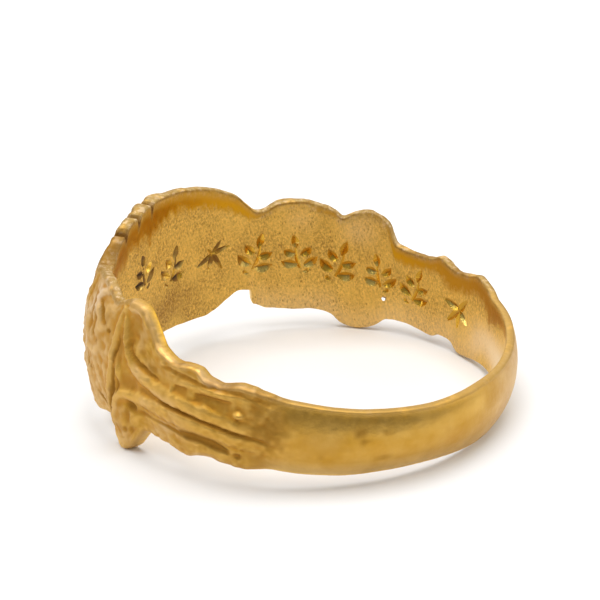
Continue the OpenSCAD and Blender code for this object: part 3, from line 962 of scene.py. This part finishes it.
def mark_band(mesh, p):
    """Stores the inner wall, the polished band with its painted reflection, the pores, a painted shade
    on the wall, the ornament, the rims and their spotting, and the feet with a painted floor reflection.
    """
    store(mesh, "inner", clamp((p.rim - 0.12 - p.radius) / 0.2) * (p.radius < p.hole + 0.25))
    store(mesh, "polish_reach", p.from_top / smooth_rows(POLISH_AND_REFLECTION, p.angle, 1))
    store(mesh, "polish_depth", smooth_rows(POLISH_AND_REFLECTION, p.angle, 2))
    back = 0.55 * window(p.angle, -180, -HOOP_START, 14)
    store(mesh, "porous", 0.85 - back - 0.3 * bump(p.angle + 78, 22) * (p.z < 0))
    # Painted shade on the inner wall, low behind the bezel.
    store(mesh, "brown", 0.45 * bump(p.angle - 2, 20) * bump(p.z + 1.5, 1.7))
    store(mesh, "ornament", window(np.abs(p.angle), SLEEVE_START, 114, 8) * (p.radius > p.rim))
    store(mesh, "from_top", p.from_top)
    # The rims take a darker colour as painted shade, with painted highlights in bright patches.
    store(mesh, "rim", clamp(1.3 - p.from_top / 0.16) * (1 - 0.8 * window(p.angle, 70, HOOP_START, 6)))
    store(mesh, "chipped", 0.15 + 0.85 * window(p.angle, -118, HOOP_START, 10))
    # The feet: the lower rims, also the cuff's lobe, where the colour paints a reflection of the floor.
    foot = clamp(1.15 - p.from_bottom / 0.75) * (p.radius > p.hole + 0.05)
    foot = foot * (1 - 0.7 * window(np.abs(p.angle), 40, 63, 4))
    lobe = 1.2 * bump(p.angle - 68, 6) * bump(p.from_bottom, 0.7)
    store(mesh, "foot", np.maximum(foot, lobe) * (1 - 0.85 * window(np.abs(p.angle), 73, HOOP_START, 7)))


def mark_pale(mesh, p):
    """Stores the pale places: frost with a painted sheen beside the hands, painted highlights on the
    shoulder's rims, a painted reflection on the hoop, paler clouds on the cuffs and painted light on the
    wall.
    """
    outer = p.radius > p.rim - 0.05
    line = np.array([(arc(a), h, FROST_AND_SHEEN_HALF_WIDTH, 0) for a, h in FROST_AND_SHEEN])
    beside, _ = path_distance(arc(p.angle), p.z, line)
    # Frost with a painted sheen beside the hands, less of it on the tops of the wrists.
    bezel = window(p.angle, -44, 60, 8) * (0.32 + 0.68 * bump(beside, FROST_AND_SHEEN_REACH)) * outer
    bezel = bezel * (1 - 0.85 * window(p.angle, 31, 46, 5) * window(p.z, 1.9, 6, 0.6))
    bezel = bezel * (1 - 0.6 * window(p.angle, 8, 31, 5) * window(p.z, 3.2, 6, 0.5))
    # Painted highlights on the shoulder's rims.
    rim = window(p.angle, CUFF_START, HOOP_START, 6) * clamp(1.3 - p.to_rim / 0.2)
    rim = (0.25 + 0.5 * bump(p.angle - 99, 7)) * rim
    clouds = 0.3 * window(p.angle, CUFF_START, 84, 14) * outer
    clouds = clouds * clamp(0.3 + face_noise(p.angle, p.z, 1.7, 23))
    # A painted reflection on part of the plain hoop.
    back = 0.4 * bump(np.mod(p.angle, 360) - 202, 26) * outer
    # Painted light on parts of the inner wall, and a painted reflection of the floor on its lower part.
    wall = 0.5 * bump(p.angle + 152, 20) + 0.9 * bump(p.angle + 133, 28) * bump(p.z + 0.5, 1.6)
    wall = np.minimum(wall + 0.5 * bump(p.from_bottom, 2.1) * window(p.angle, -118, -36, 10), 1)
    wall = np.maximum(wall, 0.45 * bump(p.angle + 66, 12) * bump(p.z - 2.1, 1.5))
    wall = np.maximum(wall, 0.35 * bump(p.angle + 46, 10) * bump(p.z - 2.3, 1.2))
    pale = (bezel, rim + back, clouds, wall * (p.radius < p.hole + 0.05))
    store(mesh, "pale", np.max(pale, 0))


def sharpen_cuts(mesh, cut, corners):
    """Smooth faces, but the borders of the engraved cuts and the lines at their bottoms stay crisp."""
    mesh.polygons.foreach_set("use_smooth", np.ones(len(mesh.polygons), bool))
    mesh.set_sharp_from_angle(angle=math.radians(42))
    edge_of = read(mesh.loops, "edge_index", kind=np.int32)
    normal = read(mesh.polygons, "normal", 3)[corners.face]
    order = np.argsort(edge_of, kind="stable")
    one, two = order[0::2], order[1::2]
    if len(order) % 2 or (edge_of[one] != edge_of[two]).any():
        raise RuntimeError("the ring's mesh is not closed")
    touched = cut[corners.face[one]] | cut[corners.face[two]]
    bent = (normal[one] * normal[two]).sum(1) < math.cos(math.radians(14))
    sharp = read(mesh.edges, "use_edge_sharp", kind=bool)
    sharp[edge_of[one]] |= touched & bent
    mesh.edges.foreach_set("use_edge_sharp", sharp)


def mark_faces(mesh, settings):
    """Stores what the material reads from the mesh. Its soil and painted shade, and its wear with a painted
    light band, were stored with the band.
    """
    p, corners = band_places(mesh, settings), face_corners(mesh)
    lay_map(mesh, p, corners)
    cut = mark_cuts(mesh, p, corners)
    mark_band(mesh, p)
    mark_pale(mesh, p)
    sharpen_cuts(mesh, cut, corners)


def mottle_tree():
    """Soft patches that come and go over the metal, and finer spots."""
    t, source, target = new_tree(
        "ShaderNodeTree", "Mottled gold",
        (("Vector", "Vector", None), ("Patch Size", "Float", 1.3), ("Spot Size", "Float", 0.26)),
        (("Patches", "Float"), ("Spots", "Float")),
    )
    layers = (("Patches", "Patch Size", 3, 0.55), ("Spots", "Spot Size", 4, 0.6))
    for name, size, detail, roughness in layers:
        scale = t.math("DIVIDE", 1.0, t.times(source[size], MM))
        t.join(target[name], t.ramp(t.noise(source["Vector"], scale, detail, roughness), 0.3, 0.7))
    return t.tree


def grain_tree():
    """Short scratches that run across the band, and the broader streaks they gather into."""
    t, source, target = new_tree(
        "ShaderNodeTree", "Brushed grain",
        (("Vector", "Vector", None), ("Fineness", "Float", 8.5), ("Length", "Float", 0.17)),
        (("Height", "Float"), ("Streaks", "Float")),
    )
    slant = t.turn(source["Vector"], 0.4)
    lengthwise = t.math("DIVIDE", 1.0, source["Length"])
    scratch = t.out("ShaderNodeCombineXYZ", {"X": source["Fineness"], "Y": lengthwise, "Z": 1.0})
    fine = t.noise(t.stretch(slant, scratch), 1.0, 3, 0.75)
    t.join(target["Height"], t.ramp(fine, 0.38, 0.62))
    wide = t.noise(t.stretch(slant, (4.2, 0.45, 1.0)), 1.0, 4, 0.7)
    t.join(target["Streaks"], t.ramp(wide, 0.32, 0.68))
    return t.tree


def pore_tree():
    """Small dark casting pores, drawn out along the bore and thicker in some places than in others."""
    t, source, target = new_tree(
        "ShaderNodeTree", "Casting pores",
        (("Vector", "Vector", None), ("Spacing", "Float", 0.125), ("Share", "Float", 0.95)),
        (("Pores", "Float"),),
    )
    place = t.stretch(t.turn(source["Vector"], 0.35), (1.0, 0.5, 1.0))
    scale = t.math("DIVIDE", 1.0, source["Spacing"])
    cells = t.add("ShaderNodeTexVoronoi", {"Vector": place, "Scale": scale}).outputs
    pick = t.add("ShaderNodeSeparateColor", {0: cells["Color"]}).outputs
    crowd = t.noise(source["Vector"], 1.1, 2)
    keep = t.math("LESS_THAN", pick[0], t.times(source["Share"], t.ramp(crowd, 0.40, 0.62, 0.06, 1.0)))
    dots = t.ramp(cells["Distance"], 0.14, 0.40, 1.0, 0.0)
    dots = t.times(dots, t.ramp(pick[1], 0.0, 1.0, 0.35, 1.0), keep)
    grit = t.times(t.ramp(t.noise(place, 11.0, 3, 0.8), 0.54, 0.68), t.ramp(crowd, 0.35, 0.6, 0.25, 0.8))
    t.join(target["Pores"], t.math("MAXIMUM", dots, grit))
    return t.tree


STORED_MARKS = (
    "inner", "cut", "soil", "worn", "grime", "polish_reach", "polish_depth", "rim", "pale", "foot",
    "chipped", "brown", "lit", "porous", "cut_depth", "cut_dirt", "from_top", "ornament",
)


def gold_masks(t):
    """The stored marks, the patterns and the masks made from both, by name."""
    m = SimpleNamespace()
    for name in STORED_MARKS:
        setattr(m, name, t.add("ShaderNodeAttribute", attribute_name=name).outputs["Fac"])
    solid = t.add("ShaderNodeTexCoord").outputs["Object"]
    m.patches, m.spots = t.group(mottle_tree(), {"Vector": solid})
    band = t.out("ShaderNodeUVMap", uv_map="Band")
    m.height, m.streaks = t.group(grain_tree(), {"Vector": band})
    m.pores = t.group(pore_tree(), {"Vector": band})[0]

    wobble = t.plus(t.times(t.minus(m.streaks, 0.5), 0.45), t.times(t.minus(m.spots, 0.5), 0.35))
    reach = t.ramp(t.plus(m.polish_reach, wobble), 0.70, 1.14, 1, 0)
    # The polished band is smoother metal whose orange colour is a painted reflection of the gold.
    m.polish = t.times(reach, m.inner, t.minus(1, m.rim))
    m.matte = t.times(m.inner, t.minus(1, m.polish))
    m.outer = t.minus(1, m.inner)
    m.uncut = t.minus(1, m.cut)
    m.rim = t.times(m.rim, m.uncut)
    # high brightens the raised places, and also the painted light band under the hoop's upper rim.
    m.high = t.times(m.outer, t.ramp(m.worn, 0, 1, 0, 0.5))
    m.low = t.times(m.outer, t.ramp(m.worn, 0, -1, 0, 0.75))
    m.frost = t.times(m.pale, t.ramp(m.patches, 0.2, 0.9, 1, 0.5), t.ramp(m.worn, -1, 0.3, 0.2, 1))
    m.dirt = t.times(m.soil, t.ramp(m.spots, 0, 1, 1, 0.7))
    m.shade = t.times(m.cut, t.ramp(m.lit, -0.2, -1, 0, 0.35))
    m.black = t.times(m.grime, m.cut)
    m.soiled = t.times(m.cut, m.cut_dirt)
    m.filth = t.math("MAXIMUM", m.black, m.soiled)
    return m


def outer_colour(t, m, gold):
    """Satin metal, brighter on its ridges and in a painted light band under the hoop's rim, frosted with a
    painted sheen beside the hands and deeper in its hollows.
    """
    colour = t.mix(m.patches, gold.light_gold, gold.deep_gold)
    colour = t.mix(m.high, colour, gold.bright_gold)
    colour = t.mix(m.frost, colour, gold.pale_sheen_gold)
    return t.mix(m.low, colour, gold.hollow)


def wall_colour(t, m, gold):
    """Matte metal of the inner wall, brushed, with painted shade in its brown places and painted light in
    its pale ones.
    """
    scratched = t.times(t.minus(1, m.height), t.ramp(m.patches, 0.1, 0.9, 0.85, 0.35))
    scratched = t.times(scratched, t.ramp(m.pale, 0, 1, 1, 0.3))
    colour = t.mix(t.plus(scratched, m.brown), gold.matte_gold, gold.matte_low)
    colour = t.mix(t.times(m.streaks, 0.28), colour, gold.matte_low)
    return t.mix(t.math("POWER", m.pale, 2), colour, gold.pale_wall)


def rim_colour(t, m, gold):
    """Rims: a darker colour as painted shade with painted highlights in bright patches, and, beside the
    ornament, painted highlight spots and specks of soil; plainer on the hoop.
    """
    colour = t.mix(t.ramp(m.patches, 0.60, 0.85), gold.rim_shade_gold, gold.bright_gold)
    colour = t.mix(t.ramp(m.chipped, 0.15, 1, 0.5, 1), gold.light_gold, colour)
    colour = t.mix(t.times(m.chipped, t.ramp(m.spots, 0.55, 0.75, 0, 0.6)), colour, gold.pale_sheen_gold)
    return t.mix(t.times(m.chipped, t.ramp(m.spots, 0.40, 0.22, 0, 0.7)), colour, gold.soil)


def cut_colour(t, m, gold):
    """Engraved cuts, with painted light on the facets that face up the bore and painted glints on some of
    them.
    """
    colour = t.mix(t.ramp(m.lit, -0.4, 0.8), gold.cut_gold, gold.lit_facet_gold)
    return t.mix(t.times(t.ramp(m.lit, 0.3, 0.9), t.ramp(m.patches, 0.42, 0.62)), colour, gold.glint)


def add_dirt_and_shade(t, m, gold, colour):
    """Soil and painted shade in the recesses, soil in the pores and in the cuts near the bezel, painted
    shade on the cuts' downward facets, towards their bottoms and in a line under the inner rim, and grime
    in the oldest cuts.
    """
    heavy_dirt_and_shade = t.mix(t.ramp(m.soil, 0.86, 0.98), gold.soil, gold.dark_soil_and_shade)
    # Painted shade, darker towards the cuts' bottoms.
    bottom = t.times(m.cut, t.math("POWER", m.cut_depth, 2.6), 0.55)
    # Painted shade in a thin line under the inner rim.
    rim_edge_shade = t.times(t.ramp(m.from_top, 0.03, 0.08), t.ramp(m.from_top, 0.10, 0.20, 1, 0))
    rim_edge_shade = t.times(rim_edge_shade, m.inner, t.ramp(m.patches, 0.3, 0.6, 0, 0.5))
    for mask, soil in (
        (m.dirt, heavy_dirt_and_shade),
        (t.times(m.pores, m.matte, m.porous), gold.soil),
        (bottom, gold.soil),
        (m.soiled, gold.dark_soil_and_shade),
        (m.shade, gold.dark_soil_and_shade),
        (rim_edge_shade, gold.dark_soil_and_shade),
        (m.black, gold.grime),
    ):
        colour = t.mix(mask, colour, soil)
    return colour


def gold_colour(t, m, gold):
    colour = t.mix(m.matte, outer_colour(t, m, gold), wall_colour(t, m, gold))
    colour = t.mix(t.times(m.rim, 0.8), colour, rim_colour(t, m, gold))
    # A painted reflection of the floor on the feet.
    colour = t.mix(t.times(m.foot, t.ramp(m.patches, 0.2, 0.9, 0.95, 0.6)), colour, gold.floor_reflection_gold)
    # The band's orange is a painted reflection of the gold, deeper where the depth says.
    polished = t.mix(m.polish_depth, gold.ochre_reflection, gold.deep_ochre_reflection)
    colour = t.mix(t.times(m.polish, t.ramp(m.spots, 0, 1, 1, 0.92)), colour, polished)
    colour = t.mix(t.times(m.cut, 0.95), colour, cut_colour(t, m, gold))
    return add_dirt_and_shade(t, m, gold, colour)


def gold_roughness(t, m, gold):
    """Satin outside and matte inside, with what each mask adds or takes away."""
    rough = t.ramp(m.spots, 0, 1, gold.satin - 0.05, gold.satin + 0.07)
    for mask, change in (
        (m.matte, gold.matte - gold.satin),
        (m.polish, -0.08),
        (m.high, -0.10),
        (m.dirt, 0.16),
        (m.ornament, 0.16),
        (t.math("MAXIMUM", m.frost, m.rim), 0.18),
        (m.cut, -0.30),
        (m.shade, 0.35),
        (m.filth, 0.4),
    ):
        rough = t.plus(rough, t.times(mask, change))
    return t.out("ShaderNodeClamp", {0: rough, 1: 0.12, 2: 1.0})


def gold_relief(t, m):
    """Scratches and pores on the inner wall, and a faint unevenness everywhere but in the cuts."""
    height = t.minus(t.times(m.height, m.matte, 0.8), t.times(m.pores, m.matte, 1.2))
    height = t.plus(height, t.times(m.spots, t.minus(0.4, t.times(m.cut, 0.35))))
    height = t.times(height, t.minus(1, t.times(m.cut, 0.8)))
    return t.out("ShaderNodeBump", {"Strength": 0.6, "Distance": 0.03 * MM, "Height": height})


def gold_material(gold):
    """Worn gold: satin outside, matte and porous inside, with painted highlights and shade on the rims,
    painted reflections inside and on the feet, and soil and painted shade in the recesses.
    """
    material = bpy.data.materials.new("worn gold")
    material.use_nodes = True
    material.node_tree.nodes.clear()
    t = Tree(material.node_tree)
    m = gold_masks(t)
    dull = t.math("MAXIMUM", t.times(m.matte, m.uncut, gold.dullness), t.times(m.filth, 0.6))
    shader = t.out("ShaderNodeBsdfPrincipled", {
        "Base Color": gold_colour(t, m, gold), "Roughness": gold_roughness(t, m, gold),
        "Normal": gold_relief(t, m), "Metallic": t.minus(1, dull)})
    t.add("ShaderNodeOutputMaterial", {0: shader})
    return material


def floor_material(colour):
    material = bpy.data.materials.new("pale board")
    material.use_nodes = True
    shader = material.node_tree.nodes["Principled BSDF"]
    shader.inputs["Base Color"].default_value = colour
    shader.inputs["Roughness"].default_value = 0.7
    return material


def number_setting(name, description, default, low, high, **kind):
    return bpy.props.FloatProperty(
        name=name, description=description, default=default, min=low, max=high, **kind)


def length_setting(name, description, default, low, high):
    """A length given in millimetres and kept in metres."""
    return number_setting(name, description, default * MM, low * MM, high * MM, unit="LENGTH", precision=5)


def share_setting(name, description, default):
    return number_setting(name, description, default, 0, 1, subtype="FACTOR")


def colour_setting(name, description, red, green, blue):
    return bpy.props.FloatVectorProperty(
        name=name, description=description, subtype="COLOR", size=4, min=0, max=1,
        default=(red, green, blue, 1))


def count_setting(name, description, default, low, high):
    return bpy.props.IntProperty(name=name, description=description, default=default, min=low, max=high)


class HoopSettings(bpy.types.PropertyGroup):
    swell_depth: length_setting("Swell", "How far the wall is worn outward beside the bezel", 0.8, 0, 1.2)
    swell_angle: number_setting("Swell Angle", "Middle of the worn wall, in degrees", 48, 40, 56)
    swell_reach: number_setting("Swell Reach", "Degrees from there to the worn wall's end", 32, 20, 40)
    hand_height: length_setting("Hand Height", "Height of the clasped hands over the wall", 0.42, 0, 1)
    rim_round: length_setting("Rim Rounding", "Width of the worn rounding on the rims", 0.28, 0.02, 0.35)
    fine_step: number_setting("Fine Step", "Degrees between sections in the ornament", 0.42, 0.3, 3)
    across: count_setting("Across", "Points across the outer face", 84, 20, 120)
    inside: count_setting("Inside", "Points down the inner wall", 14, 4, 60)


class EngravingSettings(bpy.types.PropertyGroup):
    spread: number_setting("Graver Spread", "Half width of a cut against its depth", GRAVER_SPREAD, 0.6, 3)
    hole: number_setting(
        "Worn Hole", "Radius of the worn hole in the wall, in millimetres", WORN_HOLE_RADIUS, 0.02, 0.3)


class GoldSettings(bpy.types.PropertyGroup):
    light_gold: colour_setting("Light Gold", "Colour of the bright satin metal", 0.60, 0.355, 0.080)
    deep_gold: colour_setting("Deep Gold", "Colour of the deeper patches", 0.50, 0.265, 0.030)
    # Rubbed Gold brightens the ridges, the painted light band on the hoop and the rims' painted highlights.
    bright_gold: colour_setting("Rubbed Gold", "Colour of the ridges, rubbed bright", 0.755, 0.468, 0.120)
    hollow: colour_setting("Hollows", "Colour of the low places of the ornament", 0.52, 0.245, 0.030)
    # Rim Gold is a painted shade on the rims, which face the top lamp.
    rim_shade_gold: colour_setting("Rim Gold", "Colour of the duller parts of the rims", 0.40, 0.272, 0.100)
    # Foot Gold paints the floor's reflection on the lower rims.
    floor_reflection_gold: colour_setting("Foot Gold", "Colour of the lower rims", 0.86, 0.60, 0.22)
    # Pale Gold is the painted sheen beside the hands and the painted highlights on the rims.
    pale_sheen_gold: colour_setting("Pale Gold", "Colour of the frosted metal", 0.76, 0.60, 0.41)
    # Pale Wall is painted light on the inner wall.
    pale_wall: colour_setting("Pale Wall", "Colour of the palest part of the inner wall", 0.96, 0.79, 0.54)
    matte_gold: colour_setting("Matte Gold", "Colour of the matte inner wall", 1.0, 0.648, 0.132)
    matte_low: colour_setting("Matte Hollows", "Colour between the wall's grains", 0.34, 0.172, 0.022)
    # Ochre and Deep Ochre paint the gold's reflection in the polished inner band.
    ochre_reflection: colour_setting("Ochre", "Colour of the polished inner band", 0.65, 0.355, 0.014)
    deep_ochre_reflection: colour_setting("Deep Ochre", "Colour of the inner band at its deepest", 0.46, 0.208, 0.005)
    cut_gold: colour_setting("Cut Gold", "Colour of the engraved cuts", 0.66, 0.385, 0.042)
    # Painted light on the cuts' upward facets.
    lit_facet_gold: colour_setting("Clean Gold", "Colour of the cuts' upward facets", 0.84, 0.51, 0.06)
    # A painted glint on some of the cuts' upward facets.
    glint: colour_setting("Glint", "Colour of the cleanest of those upward facets", 1.0, 0.74, 0.20)
    # The soil colour also paints shade in the recesses, the cells, the nicks and the cuts' bottoms.
    soil: colour_setting("Soil", "Colour of the soil in the recesses", 0.31, 0.152, 0.020)
    # Dark Soil is also the painted shade on the cuts' downward facets and under the inner rim.
    dark_soil_and_shade: colour_setting("Dark Soil", "Colour of the thickest soil", 0.19, 0.072, 0.004)
    grime: colour_setting("Grime", "Colour of the black grime in the oldest cuts", 0.034, 0.018, 0.004)
    dullness: share_setting("Dullness", "How far the inner wall has lost its metal shine", 0.45)
    satin: share_setting("Satin", "Roughness of the outer face", 0.40)
    matte: share_setting("Matte", "Roughness of the inner wall", 0.55)


# The camera in the ring's own axes, in millimetres, worked out from the photograph.
CAMERA_PLACE = (-34.306, 50.110, 30.595)
CAMERA_LOOK = (0.52132, -0.73850, -0.42761)
CAMERA_UP = (0.33658, -0.28252, 0.89827)
CAMERA_LENS = 89.63
SENSOR_WIDTH = 36.0
# The floor lies this far under the ring, so that the two don't flicker where they touch.
FLOOR_GAP = 0.00001
FLOOR_SIZE = 2.0
SKY_STRENGTH = 0.26
# Soft lights, in metres and watts. Columns: name, place, height of its target, size, power.
SOFTBOXES = (
    ("top softbox", (0.02, 0.02, 0.46), 0, (0.50, 0.50), 3.2),
    ("left softbox", (0.24, -0.40, 0.22), 0.004, (0.26, 0.24), 0.6),
    ("right softbox", (-0.32, 0.32, 0.20), 0.004, (0.24, 0.24), 0.6),
    ("back softbox", (-0.40, -0.30, 0.26), 0.004, (0.80, 0.44), 0.9),
)


class StageSettings(bpy.types.PropertyGroup):
    lens: number_setting("Lens", "Focal length on a 36 mm sensor, in millimetres", CAMERA_LENS, 20, 300)
    floor_colour: colour_setting("Floor", "Colour of the floor", 0.76, 0.76, 0.76)
    light: number_setting("Light", "How strong the soft lights are", 1, 0, 50, subtype="FACTOR")


def add_softbox(name, place, target_height, size, watts):
    lamp = bpy.data.lights.new(name, "AREA")
    lamp.shape = "RECTANGLE"
    lamp.size, lamp.size_y = size
    lamp.energy = watts
    box = add_object(name, lamp)
    box.location = place
    box.rotation_mode = "QUATERNION"
    box.rotation_quaternion = (Vector((0, 0, target_height)) - Vector(place)).to_track_quat("-Z", "Y")


def add_camera(focal_length):
    """The camera at the photograph's place, angle and view."""
    lens = bpy.data.cameras.new("camera")
    lens.lens, lens.sensor_width = focal_length, SENSOR_WIDTH
    lens.clip_start, lens.clip_end = 0.002, 10.0
    camera = add_object("camera", lens)
    turn = RING_TO_ROW.to_3x3() * (1 / MM)
    look, up = turn @ Vector(CAMERA_LOOK), turn @ Vector(CAMERA_UP)
    right = look.cross(up).normalized()
    up = right.cross(look).normalized()
    basis = Matrix((right, up, -look.normalized())).transposed()
    camera.matrix_world = Matrix.Translation(RING_TO_ROW @ Vector(CAMERA_PLACE)) @ basis.to_4x4()
    return camera


class FEDE_OT_ring(bpy.types.Operator):
    """Model the hoop with its hands, cuffs, shoulders and engraved marks"""

    bl_idname = "fede.ring"
    bl_label = "Ring"

    def execute(self, context):
        settings, engraving = context.scene.fede_hoop, context.scene.fede_engraving
        step = settings.fine_step * PLAIN_STEP
        angle = np.concatenate((
            np.arange(-180, -ORNAMENT_END, step),
            np.arange(-ORNAMENT_END, ORNAMENT_END, settings.fine_step),
            np.arange(ORNAMENT_END, 180 - step / 2, step),
        ))
        points, soil, worn = band_section(angle, settings)
        mesh = mesh_from_grid("ring_metal", points)
        store(mesh, "soil", soil.reshape(-1))
        store(mesh, "worn", worn.reshape(-1))
        ring = add_object("ring_metal", mesh)
        strokes = stroke_object(settings)
        run_tree(ring, engrave_tree(roll_tree()), {
            "Strokes": strokes, "Bore Radius": BORE_RADIUS, "Graver Spread": engraving.spread,
            "Hole Place": (math.radians(WORN_HOLE[0]) * BORE_RADIUS, WORN_HOLE[1], 0.0),
            "Hole Radius": engraving.hole, "Material": gold_material(context.scene.fede_gold)})
        bpy.data.objects.remove(strokes)
        mark_faces(ring.data, settings)
        ring.data.transform(RING_TO_ROW)
        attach(ring, "root")
        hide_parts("ring")
        return {"FINISHED"}


class FEDE_OT_stage(bpy.types.Operator):
    """Add the floor, the soft lights and the camera"""

    bl_idname = "fede.stage"
    bl_label = "Stage"

    def execute(self, context):
        settings = context.scene.fede_stage
        bpy.ops.mesh.primitive_plane_add(size=FLOOR_SIZE, location=(0, 0, -FLOOR_GAP))
        floor = context.object
        floor.name = "floor"
        floor.data.materials.append(floor_material(settings.floor_colour))
        for name, place, target_height, size, watts in SOFTBOXES:
            add_softbox(name, place, target_height, size, settings.light * watts)
        world = bpy.data.worlds.new("studio")
        world.use_nodes = True
        sky = world.node_tree.nodes["Background"]
        sky.inputs["Color"].default_value = (1, 1, 1, 1)
        sky.inputs["Strength"].default_value = SKY_STRENGTH
        context.scene.world = world
        context.scene.view_settings.view_transform = "Standard"
        context.scene.camera = add_camera(settings.lens)
        return {"FINISHED"}


SETTINGS = {
    "fede_hoop": HoopSettings, "fede_engraving": EngravingSettings, "fede_gold": GoldSettings,
    "fede_stage": StageSettings,
}


class FEDE_PT_panel(bpy.types.Panel):
    """Sizes, colours and pieces of the ring"""

    bl_label = "Fede Ring"
    bl_idname = "FEDE_PT_panel"
    bl_space_type = "VIEW_3D"
    bl_region_type = "UI"
    bl_category = "Fede Ring"

    def draw(self, context):
        for group, kind in SETTINGS.items():
            box = self.layout.box()
            box.label(text=kind.__name__.replace("Settings", ""))
            for name in kind.__annotations__:
                box.prop(getattr(context.scene, group), name)
        for operator in (FEDE_OT_ring, FEDE_OT_stage):
            self.layout.operator(operator.bl_idname)


CLASSES = (*SETTINGS.values(), FEDE_OT_ring, FEDE_OT_stage, FEDE_PT_panel)


def register():
    for made in CLASSES:
        bpy.utils.register_class(made)
    for name, kind in SETTINGS.items():
        setattr(bpy.types.Scene, name, bpy.props.PointerProperty(type=kind))


def unregister():
    for name in SETTINGS:
        delattr(bpy.types.Scene, name)
    for made in reversed(CLASSES):
        bpy.utils.unregister_class(made)


def main():
    register()
    bpy.ops.fede.ring()
    bpy.ops.fede.stage()


if __name__ == "__main__":
    main()
